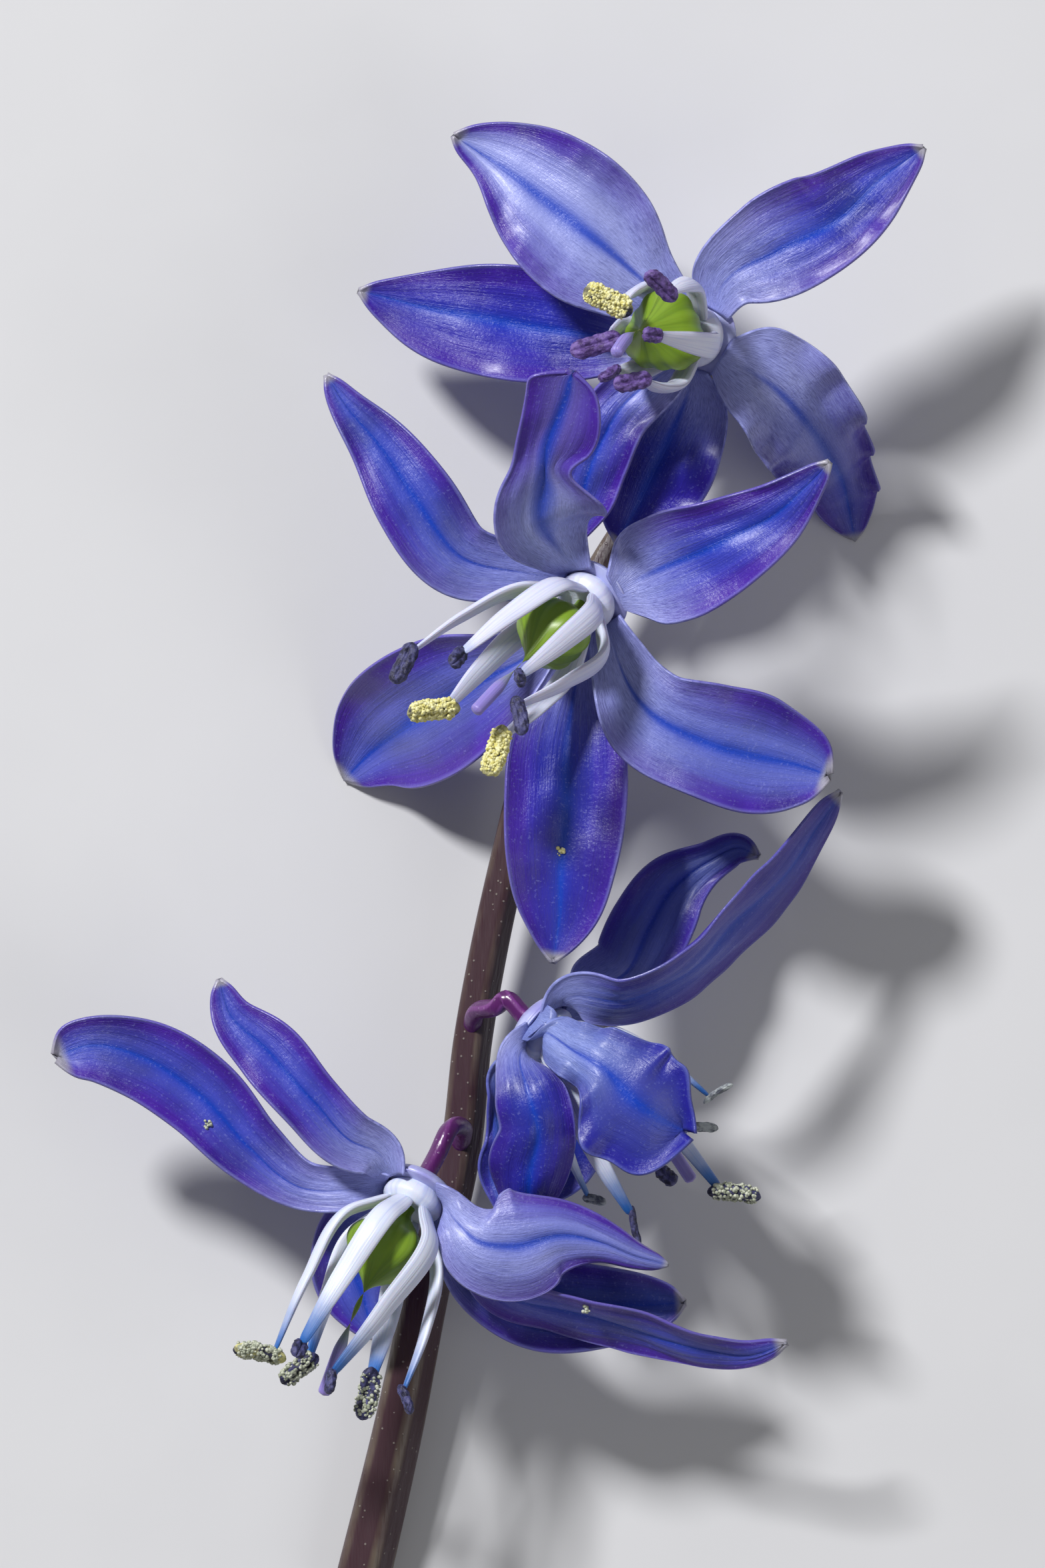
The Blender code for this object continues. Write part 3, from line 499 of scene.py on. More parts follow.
def times(tree, first, second):
    return mathNode(tree, "MULTIPLY", first, second)


def oneMinus(tree, value):
    return mathNode(tree, "SUBTRACT", 1.0, value)


# Runs smoothly from 0 at the low value to 1 at the high one
def ramp(tree, value, low, high):
    inputs = {"Value": value, "From Min": low, "From Max": high}
    made = addNode(tree, "ShaderNodeMapRange", inputs, interpolation_type="SMOOTHSTEP")
    return made.outputs["Result"]


# The first colour at a share of 0, the second at 1
def blendColours(tree, share, first, second):
    made = addNode(tree, "ShaderNodeMix", data_type="RGBA")
    for key, value in ((0, share), (6, first), (7, second)):
        if isinstance(value, bpy.types.NodeSocket):
            tree.links.new(value, made.inputs[key])
        else:
            made.inputs[key].default_value = value
    return made.outputs[2]


# Cloudy noise between 0 and 1
def noise(tree, vector, scale, detail=3.0, roughness=0.5):
    inputs = {"Vector": vector, "Scale": scale, "Detail": detail, "Roughness": roughness}
    return addNode(tree, "ShaderNodeTexNoise", inputs).outputs["Fac"]


# A group with named sockets: inputs are pairs of name and kind, outputs too
def newGroup(name, inputs, outputs):
    group = bpy.data.node_groups.new(name, "ShaderNodeTree")
    for label, kind in inputs:
        group.interface.new_socket(name=label, in_out="INPUT", socket_type="NodeSocket" + kind)
    for label, kind in outputs:
        group.interface.new_socket(name=label, in_out="OUTPUT", socket_type="NodeSocket" + kind)
    return group, addNode(group, "NodeGroupInput").outputs, addNode(group, "NodeGroupOutput").inputs


# Place across and along the piece, and the place in space
def readPlaces(tree):
    uv = addNode(tree, "ShaderNodeUVMap", uv_map="place").outputs["UV"]
    parts = addNode(tree, "ShaderNodeSeparateXYZ", {"Vector": uv})
    space = addNode(tree, "ShaderNodeTexCoord").outputs["Object"]
    return uv, parts.outputs["X"], parts.outputs["Y"], space


# Stretches places, so that noise on them makes streaks along the piece
def streakPlaces(tree, places, across, along):
    inputs = {"Vector": places, "Scale": (across, along, 1.0)}
    return addNode(tree, "ShaderNodeMapping", inputs).outputs["Vector"]


# How fine the patterns on a tepal are: over space, or across and along the blade
tepalPattern = {
    "clouds": 260.0,
    "papillae": 7000.0,
    "unevenness": 480.0,
    "broad": (7.0, 1.3),
    "streaks": (52.0, 1.8),
    "cells": (170.0, 26.0),
}


# Clouds of painted shade and streaks along the blade, a violet margin, a pale striped base, a blue vein, a
# grey tip, a pale margin line that is partly painted rim highlight and pale dots of painted glints
def makeTepalGroup():
    fine = tepalPattern
    colourNames = ("Body", "Margin", "Shade", "Vein", "Base", "Tip")
    amountNames = ("Paleness", "Base reach", "Vein width", "Deepening", "Callus")
    inputs = [(label, "Color") for label in colourNames] + [(label, "Float") for label in amountNames]
    outputs = [("Colour", "Color"), ("Roughness", "Float"), ("Height", "Float")]
    group, given, out = newGroup("tepalLook", inputs, outputs)
    uv, across, along, space = readPlaces(group)
    off = mathNode(group, "ABSOLUTE", mathNode(group, "MULTIPLY_ADD", across, 2.0, -1.0))
    clouds = noise(group, space, fine["clouds"], 3.0, 0.5)
    broad = noise(group, streakPlaces(group, uv, *fine["broad"]), 1.0, 2.0, 0.5)
    streaks = noise(group, streakPlaces(group, uv, *fine["streaks"]), 1.0, 3.0, 0.55)
    cells = noise(group, streakPlaces(group, uv, *fine["cells"]), 1.0, 2.0, 0.6)
    papillae = noise(group, space, fine["papillae"], 2.0, 0.6)

    wander = mathNode(group, "MULTIPLY_ADD", broad, 0.5, mathNode(group, "SUBTRACT", off, 0.25))
    body = blendColours(group, ramp(group, wander, 0.3, 0.95), given["Body"], given["Margin"])
    # Painted shade: cloudy dark patches in the body colour, towards the Shade colour
    paintedShadeClouds = times(group, ramp(group, clouds, 0.46, 0.7), 0.55)
    body = blendColours(group, paintedShadeClouds, body, given["Shade"])
    bleached = times(group, given["Paleness"], ramp(group, wander, 0.95, 0.15))
    body = blendColours(group, bleached, body, given["Base"])
    streaked = times(group, ramp(group, streaks, 0.5, 0.72), 0.25)
    body = blendColours(group, streaked, body, given["Shade"])

    deepened = times(group, given["Deepening"], ramp(group, along, 0.3, 0.7))
    body = blendColours(group, deepened, body, given["Margin"])

    reach = mathNode(group, "ADD", given["Base reach"], times(group, streaks, 0.3))
    nearBase = oneMinus(group, ramp(group, along, 0.06, reach))
    stripes = times(group, ramp(group, cells, 0.42, 0.62), 0.5)
    striped = blendColours(group, stripes, given["Base"], given["Shade"])
    body = blendColours(group, times(group, nearBase, 0.8), body, striped)

    swell = mathNode(group, "SINE", times(group, along, math.pi))
    width = mathNode(group, "MULTIPLY_ADD", swell, 0.06, 0.03)
    width = times(group, width, given["Vein width"])
    width = times(group, width, mathNode(group, "ADD", 0.5, broad))
    midrib = oneMinus(group, ramp(group, off, 0.0, times(group, width, 1.9)))
    midrib = times(group, midrib, ramp(group, along, 0.02, 0.25))
    halo = times(group, oneMinus(group, ramp(group, off, 0.03, 0.34)), 0.5)
    halo = times(group, halo, ramp(group, along, 0.2, 0.55))
    body = blendColours(group, halo, body, given["Vein"])
    body = blendColours(group, times(group, midrib, 0.85), body, given["Vein"])

    # Partly the margin's own paler tone and partly painted rim highlight: a thin pale line along the margins,
    # in clouds
    edge = times(group, ramp(group, off, 0.93, 1.0), times(group, clouds, 0.4))
    body = blendColours(group, edge, body, given["Base"])
    tipMask = ramp(group, mathNode(group, "MULTIPLY_ADD", clouds, 0.03, along), 0.975, 1.005)
    body = blendColours(group, times(group, tipMask, given["Callus"]), body, given["Tip"])
    # Painted highlight: fine pale dots on the papillae stand for their glints, mixed towards the Base colour
    paintedGlints = times(group, ramp(group, papillae, 0.6, 0.7), 0.16)
    group.links.new(blendColours(group, paintedGlints, body, given["Base"]), out["Colour"])

    group.links.new(mathNode(group, "MULTIPLY_ADD", papillae, 0.3, 0.2), out["Roughness"])
    relief = mathNode(group, "MULTIPLY_ADD", streaks, 0.7, times(group, papillae, 0.45))
    relief = mathNode(group, "MULTIPLY_ADD", cells, 0.35, relief)
    uneven = noise(group, space, fine["unevenness"], 2.0, 0.45)
    relief = mathNode(group, "MULTIPLY_ADD", uneven, 2.6, relief)
    group.links.new(relief, out["Height"])
    return group


# White to blue along a filament, or white to violet along a style, with fine lengthwise lines
def makeRibbonGroup():
    inputs = [("Pale", "Color"), ("Line", "Color"), ("End", "Color"), ("Turn", "Float")]
    group, given, out = newGroup("ribbonLook", inputs, [("Colour", "Color"), ("Height", "Float")])
    uv, across, along, space = readPlaces(group)
    lines = noise(group, streakPlaces(group, uv, 26.0, 1.4), 1.0, 3.0, 0.5)
    clouds = noise(group, space, 900.0)
    lined = times(group, ramp(group, lines, 0.45, 0.7), 0.5)
    body = blendColours(group, lined, given["Pale"], given["Line"])
    start = mathNode(group, "MULTIPLY_ADD", clouds, 0.12, given["Turn"])
    tint = ramp(group, along, start, mathNode(group, "ADD", start, 0.3))
    group.links.new(blendColours(group, tint, body, given["End"]), out["Colour"])
    group.links.new(lines, out["Height"])
    return group


# Two colours in clouds with fine grain, for anthers, pollen and the ovary
def makeGrainGroup():
    inputs = [("First", "Color"), ("Second", "Color"), ("Scale", "Float")]
    group, given, out = newGroup("grainLook", inputs, [("Colour", "Color"), ("Height", "Float")])
    space = addNode(group, "ShaderNodeTexCoord").outputs["Object"]
    clouds = noise(group, space, given["Scale"], 4.0, 0.6)
    grain = noise(group, space, times(group, given["Scale"], 7.0), 2.0, 0.6)
    body = blendColours(group, ramp(group, clouds, 0.38, 0.62), given["First"], given["Second"])
    group.links.new(body, out["Colour"])
    group.links.new(mathNode(group, "ADD", clouds, times(group, grain, 0.4)), out["Height"])
    return group


# Ridges lighter than the furrows between them, a painted highlight on every ridge crest broken into long
# blotches, and small pale flecks
def makeStemGroup():
    inputs = [("Furrow", "Color"), ("Ridge", "Color"), ("Fleck", "Color"), ("Ridges", "Float")]
    group, given, out = newGroup("stemLook", inputs, [("Colour", "Color"), ("Height", "Float")])
    uv, across, along, space = readPlaces(group)
    turn = times(group, across, times(group, given["Ridges"], 2 * math.pi))
    crest = ramp(group, mathNode(group, "COSINE", turn), 0.1, 0.95)
    fibres = noise(group, streakPlaces(group, space, 1.0, 0.06), 5200.0)
    blotches = noise(group, space, 260.0)
    # Painted highlight: the Ridge colour laid on the ridge crests, in blotches and fibres
    share = times(group, crest, ramp(group, blotches, 0.3, 0.7))
    share = times(group, share, mathNode(group, "ADD", 0.35, fibres))
    body = blendColours(group, share, given["Furrow"], given["Ridge"])
    cells = addNode(group, "ShaderNodeTexVoronoi", {"Vector": space, "Scale": 2400.0}).outputs["Distance"]
    flecks = oneMinus(group, ramp(group, cells, 0.08, 0.16))
    body = blendColours(group, times(group, flecks, 0.35), body, given["Fleck"])
    group.links.new(body, out["Colour"])
    group.links.new(mathNode(group, "MULTIPLY_ADD", flecks, 0.5, fibres), out["Height"])
    return group


# A material whose Principled shader takes colour and relief from a group, and whose even values are set on it
def makeMaterial(name, group, values, relief, settings, roughness=None):
    material = bpy.data.materials.new(name)
    material.use_nodes = True
    tree = material.node_tree
    shader = tree.nodes["Principled BSDF"]
    made = addNode(tree, "ShaderNodeGroup", node_tree=group)
    for label, value in values.items():
        made.inputs[label].default_value = (*value, 1.0) if isinstance(value, tuple) else value
    tree.links.new(made.outputs["Colour"], shader.inputs["Base Color"])
    if "Roughness" in made.outputs:
        tree.links.new(made.outputs["Roughness"], shader.inputs["Roughness"])
    else:
        shader.inputs["Roughness"].default_value = roughness
    inputs = {"Height": made.outputs["Height"], "Distance": relief * mm, "Strength": 1.0}
    bump = addNode(tree, "ShaderNodeBump", inputs)
    tree.links.new(bump.outputs["Normal"], shader.inputs["Normal"])
    for label, value in settings.items():
        shader.inputs[label].default_value = value
    return material


# A colour between two, at a share of the second
def mixTriple(first, second, share):
    return tuple(a * (1 - share) + b * share for a, b in zip(first, second))


tepalGroup = makeTepalGroup()
ribbonGroup = makeRibbonGroup()
grainGroup = makeGrainGroup()
stemGroup = makeStemGroup()

# Gloss of the tepals, even over the surface
tepalShine = {
    "Specular IOR Level": 0.5,
    "Sheen Weight": 0.05,
    "Sheen Roughness": 0.4,
    "Coat Weight": 0.16,
    "Coat Roughness": 0.26,
}

# Colours of the tepals. The teal ones take over as a tepal's teal rises.
tepalColours = {
    "body": (0.024, 0.032, 0.45),
    "margin": (0.062, 0.014, 0.35),
    "shade": (0.007, 0.004, 0.14),
    "deep": (0.003, 0.003, 0.26),
    "tealBody": (0.002, 0.12, 0.5),
    "tealShade": (0.002, 0.02, 0.2),
    "vein": (0.0, 0.045, 0.48),
    "base": (0.38, 0.42, 0.82),
    "tip": (0.42, 0.41, 0.42),
}


# Each tepal's own values for the shared look
def tepalMaterial(name, tepal):
    tones, teal, deep = tepalColours, tepal["teal"], tepal["deep"]
    body = mixTriple(tones["body"], tones["tealBody"], teal)
    margin = mixTriple(tones["margin"], tones["tealBody"], teal * 0.3)
    values = {
        "Body": mixTriple(body, tones["deep"], deep * 0.35),
        "Margin": mixTriple(margin, tones["deep"], deep * 0.7),
        "Shade": mixTriple(tones["shade"], tones["tealShade"], teal),
        "Vein": tones["vein"],
        "Base": mixTriple(tones["base"], tones["tealBody"], teal * 0.35),
        "Tip": tones["tip"],
        "Paleness": tepal["pale"],
        "Base reach": tepal["reach"],
        "Vein width": tepal["vein"],
        "Callus": tepal["callus"],
        "Deepening": max(deep * 0.8, tepal["violet"]),
    }
    return makeMaterial(name, tepalGroup, values, 0.05, tepalShine)


# Slightly see-through ribbons and tubes
def ribbonMaterial(name, pale, line, end, turn):
    values = {"Pale": pale, "Line": line, "End": end, "Turn": turn}
    even = {"Specular IOR Level": 0.5, "Subsurface Weight": 0.15, "Subsurface Scale": 0.0005}
    return makeMaterial(name, ribbonGroup, values, 0.03, even, 0.38)


# Dull surfaces in two mixed colours
def grainMaterial(name, first, second, scale, relief, roughness):
    values = {"First": first, "Second": second, "Scale": scale}
    return makeMaterial(name, grainGroup, values, relief, {"Specular IOR Level": 0.5}, roughness)


# Ribbons: pale colour, colour of the fine lines, colour of the end and where it begins along the piece
whiteFilament = ribbonMaterial(
    "filamentWhite", (0.7, 0.72, 0.88), (0.42, 0.45, 0.76), (0.02, 0.14, 0.58), 0.8)
blueFilament = ribbonMaterial(
    "filamentBlue", (0.7, 0.74, 0.88), (0.4, 0.47, 0.78), (0.02, 0.13, 0.45), 0.6)
pistilMaterial = ribbonMaterial(
    "pistilGreen", (0.19, 0.31, 0.02), (0.07, 0.15, 0.01), (0.28, 0.23, 0.62), 0.5)

# Grainy surfaces: two colours, how fine the clouds are, relief in mm and roughness
navyAnther = grainMaterial("antherNavy", (0.008, 0.008, 0.035), (0.07, 0.07, 0.2), 3000.0, 0.06, 0.5)
violetAnther = grainMaterial("antherViolet", (0.05, 0.02, 0.12), (0.17, 0.1, 0.36), 3000.0, 0.06, 0.5)
greyAnther = grainMaterial("antherGrey", (0.1, 0.11, 0.14), (0.42, 0.46, 0.46), 2200.0, 0.05, 0.45)
dustyAnther = grainMaterial("antherDusty", (0.02, 0.02, 0.06), (0.7, 0.66, 0.28), 1300.0, 0.12, 0.75)
yellowPollen = grainMaterial("pollenYellow", (0.68, 0.62, 0.2), (0.88, 0.85, 0.5), 5000.0, 0.03, 0.85)
greyPollen = grainMaterial("pollenGrey", (0.3, 0.33, 0.24), (0.62, 0.64, 0.52), 5000.0, 0.03, 0.85)
receptacleMaterial = grainMaterial(
    "receptacleLilac", (0.3, 0.29, 0.64), (0.45, 0.48, 0.78), 400.0, 0.03, 0.35)
cutMaterial = grainMaterial("stemCut", (0.2, 0.24, 0.08), (0.42, 0.45, 0.24), 1400.0, 0.06, 0.55)

# The stem and its stalks share one look with their own colours
# The Ridge colours are painted highlight on the ridge crests; Furrow is the stem's own colour
ridgeValues = {
    "Furrow": (0.04, 0.012, 0.02),
    "Ridge": (0.13, 0.1, 0.075),
    "Fleck": (0.5, 0.46, 0.4),
    "Ridges": float(stem["ridges"]),
}
stalkValues = {
    "Furrow": (0.09, 0.012, 0.11),
    "Ridge": (0.2, 0.05, 0.24),
    "Fleck": (0.4, 0.25, 0.45),
    "Ridges": float(stem["stalkRidges"]),
}
stemMaterial = makeMaterial("stemPurple", stemGroup, ridgeValues, 0.05, {"Specular IOR Level": 0.5}, 0.42)
stalkMaterial = makeMaterial("stalkMagenta", stemGroup, stalkValues, 0.03, {"Specular IOR Level": 0.6}, 0.28)
print("materials made")


# A tepal's middle line and widths, smoothed, with the sideways direction of the blade
def tepalRows(tepal, centre, axis, count):
    stations = np.asarray(tepal["stations"], float)
    outward = unit(stations[0, :3] - axis * axis.dot(stations[0, :3]))
    claw = np.array([*(outward * blade["clawRadius"]), blade["clawHalfWidth"], blade["clawHalfWidth"], 0.0])
    stations = np.vstack([claw, stations])
    heading = unit(np.gradient(stations[:, :3], axis=0))
    left = unit(np.cross(up, heading))
    roll = np.radians(stations[:, 5:])
    sideways = left * np.cos(roll) + np.cross(heading, left) * np.sin(roll)
    sideways[0] = np.cross(axis, outward)
    return smoothRows(np.hstack([stations[:, :3] + centre, stations[:, 3:5], sideways]), count)


# The blade's middle surface is the midrib plus u times the half width sideways, lifted by cup and ripple
# times u squared. A groove along the vein, fine pleats, a rolled rim and a ruffle at the margins follow.
def tepalGrid(tepal, centre, axis, random):
    long, across = blade["long"], blade["across"]
    rows = tepalRows(tepal, centre, axis, long)
    v = np.linspace(0.0, 1.0, long)[:, None]
    u = np.sin(np.linspace(1.0, -1.0, across) * math.pi / 2)[None, :]
    heading = unit(np.gradient(rows[:, :3], axis=0))
    sideways = unit(rows[:, 5:8] - heading * (heading * rows[:, 5:8]).sum(axis=1, keepdims=True))
    face = np.cross(heading, sideways)
    rounding = np.sqrt(np.clip(1 - np.clip((v - 0.955) / 0.045, 0, 1) ** 2, 0.03, 1))
    ragged = 1 + tepal["ragged"] * np.sin(27 * v + 4 * np.sign(u)) * np.clip(v * 2 - 0.8, 0, 1)
    width = np.where(u > 0, rows[:, 3:4], rows[:, 4:5]) * rounding * ragged
    full = np.sin(math.pi * v)
    ripple = np.sin(2 * math.pi * (2.5 * v + 0.2 * u))
    lift = u**2 * (tepal["cup"] * width + tepal["wave"] * ripple * full)
    lift = lift - blade["veinGroove"] * np.exp(-((u / blade["veinWidth"]) ** 2)) * full
    lift = lift + blade["pleat"] * np.cos(blade["pleats"] * math.pi * u) * full
    phase = random.uniform(0, 2 * math.pi, 4)
    pace = random.uniform(3.5, 7.5, 2)
    side = np.where(u > 0, phase[0], phase[1])
    fromFurrow = np.abs(u) - blade["furrowPlace"] + 0.05 * np.sin(7 * v + side)
    furrow = np.exp(-((fromFurrow / blade["furrowWidth"]) ** 2))
    lift = lift - blade["furrow"] * furrow * full * (0.5 + 0.5 * np.sin(2 * math.pi * 1.3 * v + side))
    dimple = np.sin(2 * math.pi * 2.1 * v + 2.2 * u + phase[2]) * np.cos(2.6 * u + 5 * v + phase[3])
    lift = lift + blade["dimple"] * dimple * full
    quick = np.sin(2 * math.pi * (pace[1] + 4) * v + phase[2] + u)
    ruffle = np.sin(2 * math.pi * pace[0] * v + side) + 0.6 * quick
    lift = lift + (blade["ruffle"] + tepal["ruffle"]) * np.abs(u) ** 3 * ruffle * full * 0.6
    rolled = np.clip((np.abs(u) - blade["rimStart"]) / 0.18, 0, 1) ** 2
    lift = lift + blade["rim"] * rolled * np.sin(math.pi * v**0.8)
    lift = lift + tepal["flare"] * np.clip((v - 0.45) / 0.55, 0, 1) * np.abs(u) ** 3
    lift = lift + tepal["hood"] * np.clip((v - 0.86) / 0.14, 0, 1) ** 2 * (0.35 + u**2 * 0.5)
    surface = rows[:, None, :3] + sideways[:, None] * (u * width)[..., None] + face[:, None] * lift[..., None]
    for _ in range(blade["easing"]):  # eases the margins where the midrib bends sharply
        between = (surface[:-2] + surface[2:]) / 2
        surface[1:-1] += (between - surface[1:-1]) * (0.5 * u**2)[..., None]
    normal = unit(np.cross(np.gradient(surface, axis=0), -np.gradient(surface, axis=1)))
    half = blade["thickness"] / 2 * (1 - blade["edgeThinning"] * np.abs(u) ** 3) * np.ones_like(v)
    top = surface + normal * half[..., None]
    bottom = surface - normal * half[..., None]
    grid = np.concatenate([top, bottom[:, ::-1]], axis=1)
    place = np.concatenate([(u + 1) / 2, (u[:, ::-1] + 1) / 2], axis=1)
    return grid, place, v


# Nothing dips under the surface that the plant lies on
def keepAboveFloor(grid):
    grid[..., 2] = np.maximum(grid[..., 2], 0.0)
    return grid


# The direction square to the flower's axis at a given turn, counted from the side nearest to the eye
def spokeDirection(axis, degrees):
    top = unit(up - axis * axis.dot(up))
    beside = np.cross(axis, top)
    turn = math.radians(degrees)
    return top * math.cos(turn) + beside * math.sin(turn)


# A filament's path starts in the collar, passes the shoulder and bends to the anther. Its section is flat.
def filamentGrid(flower, stamen, centre, axis):
    outward = spokeDirection(axis, stamen["turn"])
    start = centre + axis * filament["ringHeight"] + outward * filament["ringRadius"]
    shoulder = centre + axis * filament["shoulderHeight"] + outward * flower["shoulderRadius"]
    end = centre + np.asarray(stamen["end"])
    middle = (shoulder + end) / 2 + outward * filament["bulge"]
    path = np.asarray([start, (start + shoulder) / 2, shoulder, middle, end])
    rows = smoothRows(np.hstack([path, np.asarray(filament["halfWidths"])[:, None]]), filament["long"])
    angle = turnsRound(filament["around"])
    reach = rows[:, 3:4] * roundEnds(filament["long"], 0.04)[:, None]
    offsets = np.stack([reach * np.cos(angle), reach * filament["flatness"] * np.sin(angle)], axis=-1)
    grid = sweep(rows[:, :3], np.cross(axis, outward), offsets)
    return grid, angle / (2 * math.pi), np.linspace(0, 1, filament["long"])[:, None]


# An anther is a bent spindle whose section has two sacs: its radius falls off at the slit between them
def antherGrid(end, heading, axis, length, slim):
    long = anther["long"]
    share = np.linspace(-0.25, 0.75, long)[:, None]
    bow = unit(axis - heading * axis.dot(heading) + 1e-6)
    path = end + heading * length * share + bow * anther["bend"] * length * (share - 0.25) ** 2
    angle = turnsRound(anther["around"])
    fine, deep = anther["wrinkle"], anther["slit"]
    wrinkle = fine * np.sin(9 * angle + 14 * share) + fine * np.sin(5 * angle - 23 * share)
    sacs = 1 - deep * np.exp(-((np.cos(angle) / anther["slitWidth"]) ** 2)) + wrinkle
    stout = anther["radius"] * slim * (0.55 + 0.45 * length / anther["length"])
    reach = stout * roundEnds(long, 0.24)[:, None] * sacs
    wide, thick = anther["section"]
    offsets = np.stack([reach * np.cos(angle) * wide, reach * np.sin(angle) * thick], axis=-1)
    return sweep(path, np.cross(heading, bow), offsets), angle / (2 * math.pi), share + 0.25


# Grains that lie on an anther's surface, drawn with a seed
def drawGrains(grid, amount, random):
    count = int(pollen["grains"] * amount)
    rows = random.integers(4, grid.shape[0] - 3, count)
    spots = random.integers(0, grid.shape[1], count)
    centres = grid[rows, spots]
    away = unit(centres - grid.mean(axis=1)[rows])
    return centres + away * random.uniform(*pollen["sunk"], (count, 1))


# A crumb of grains that lies on a tepal, at a share of its length and of its width
def drawCrumb(grid, place, random):
    row = int(place[0] * (blade["long"] - 1))
    column = int(place[1] * (blade["across"] - 1))
    spread = random.normal(0.0, pollen["crumbSpread"], (pollen["crumbGrains"], 3)) * pollen["crumbShape"]
    return grid[row, column] + up * pollen["crumbHeight"] + spread


# Pollen is one piece of small closed balls round the places drawn
def pollenPiece(name, centres, random, replaced, material):
    rings, spokes = pollen["rings"], pollen["spokes"]
    tilt = np.linspace(0.12, math.pi - 0.12, rings)[:, None]
    turn = turnsRound(spokes)
    flat = np.ones_like(turn)
    ball = np.stack([np.sin(tilt) * np.cos(turn), np.sin(tilt) * np.sin(turn), -np.cos(tilt) * flat], axis=-1)
    ball = ball.reshape(-1, 3)
    centres = np.concatenate(centres)
    sizes = random.uniform(*pollen["size"], (len(centres), 1, 1))
    points = (centres[:, None] + ball[None] * sizes).reshape(-1, 3)
    ballFaces = wrapFaces(rings, spokes)
    starts = range(0, len(points), len(ball))
    faces = [[corner + first for corner in face] for first in starts for face in ballFaces]
    addPiece(name, points, faces, replaced, material)


# The ovary swells and closes along the flower's axis in three lobes, and the style bends out of its top
def pistilGrid(flower, centre, axis):
    radius = flower["ovaryRadius"]
    rows = [(*(centre + axis * height), radius * share) for height, share in pistil["profile"]]
    apex = centre + axis * pistil["profile"][-1][0]
    end = centre + np.asarray(flower["style"])
    bend = apex + axis * pistil["styleBend"] * np.linalg.norm(end - apex)
    thin = pistil["styleRadius"]
    rows += [(*(apex + axis * pistil["neck"]), thin), (*((bend + end) / 2), thin), (*end, thin)]
    rows = smoothRows(rows, pistil["long"])
    angle = turnsRound(pistil["around"])
    body = np.clip((rows[:, 3:4] - thin) / (radius - thin), 0, 1)
    ribs = pistil["rib"] * np.cos(pistil["ribs"] * angle)
    lobes = 1 + body * (pistil["lobe"] * np.cos(pistil["lobes"] * angle) + ribs)
    reach = rows[:, 3:4] * lobes * roundEnds(pistil["long"], 0.02)[:, None]
    offsets = np.stack([reach * np.cos(angle), reach * np.sin(angle)], axis=-1)
    side = np.cross(axis, up + 0.01)
    along = np.linspace(0, 1, pistil["long"])[:, None]
    return sweep(rows[:, :3], side, offsets), angle / (2 * math.pi), along


# A turned shape: circles of the profile's radius at its heights along the axis
def turnedGrid(profile, centre, axis, count, around):
    rows = smoothRows([(*(centre + axis * height), radius) for radius, height in profile], count)
    angle = turnsRound(around)
    offsets = np.stack([rows[:, 3:4] * np.cos(angle), rows[:, 3:4] * np.sin(angle)], axis=-1)
    side = np.cross(axis, up + 0.01)
    heading = np.broadcast_to(axis, rows[:, :3].shape)
    across = np.cross(heading, unit(side))
    grid = rows[:, None, :3] + unit(side) * offsets[..., :1] + across[:, None] * offsets[..., 1:]
    return grid, angle / (2 * math.pi), np.linspace(0, 1, count)[:, None]


# The stem and its stalks are ridged tubes: the radius rises at each ridge
def ridgedGrid(rows, count, around, ridges, depth):
    rows = smoothRows(rows, count)
    angle = turnsRound(around)
    reach = rows[:, 3:4] * (1 - depth + depth * np.cos(ridges * angle))
    offsets = np.stack([reach * np.cos(angle), reach * np.sin(angle)], axis=-1)
    grid = sweep(rows[:, :3], np.array([1.0, 0.0, 0.0]), offsets)
    return grid, angle / (2 * math.pi), np.linspace(0, 1, count)[:, None]


# The cut face is a shallow closed dome, whose height falls off with the square of the radius
def buildCutFace():
    first, second = (np.asarray(stem["rows"][step], float) for step in (0, 1))
    outward = unit(first[:3] - second[:3])
    side = unit(np.cross(outward, up))
    above = np.cross(side, outward)
    angle = turnsRound(stem["around"])
    share = np.linspace(1.0, 0.03, cutFace["rings"])[:, None]
    radius = first[3] * cutFace["reach"] * share
    ring = side * (radius * np.cos(angle))[..., None] + above * (radius * np.sin(angle))[..., None]
    rise = cutFace["proud"] * (0.2 + 1.2 * (1 - share**2))
    grid = first[:3] + ring + outward * rise[..., None]
    grid = keepAboveFloor(grid)
    makePiece("stemCutFace", grid, angle / (2 * math.pi), 1 - share, "stem", cutMaterial)


# A flower's centre and the direction it faces
def flowerAxis(flower):
    return np.asarray(flower["centre"]), unit(np.asarray(flower["faces"]))


# The last two points of a stalk, which runs straight into the receptacle
def stalkEnds(flower, radius):
    centre, axis = flowerAxis(flower)
    return [(*(centre + axis * (stem["stalkEnd"] - step)), radius) for step in (stem["stalkRun"], 0.0)]


# The stem ends in the top flower, and each of the others has a stalk of its own
def buildStem():
    ends = stalkEnds(flowers[0], stem["endRadius"])
    fineness = (stem["long"], stem["around"])
    grid, around, along = ridgedGrid(stem["rows"] + ends, *fineness, stem["ridges"], stem["ridgeDepth"])
    makePiece("stemScape", keepAboveFloor(grid), around, along, "stem", stemMaterial)
    buildCutFace()
    for flower in flowers[1:]:
        rows = [(*point, stem["stalkRadius"]) for point in flower["stalk"]]
        rows += stalkEnds(flower, stem["stalkRadius"])
        fineness = (stem["stalkLong"], stem["stalkAround"])
        grid, around, along = ridgedGrid(rows, *fineness, stem["stalkRidges"], stem["stalkRidgeDepth"])
        makePiece(flower["name"] + "Stalk", grid, around, along, "stem", stalkMaterial)


# Ripe anthers are dusty, the others are dark or dried
def antherLook(name, stamen):
    if stamen["pollen"] > 0.5:
        return dustyAnther
    if stamen["grey"]:
        return greyAnther
    return violetAnther if name == "flower1" else navyAnther


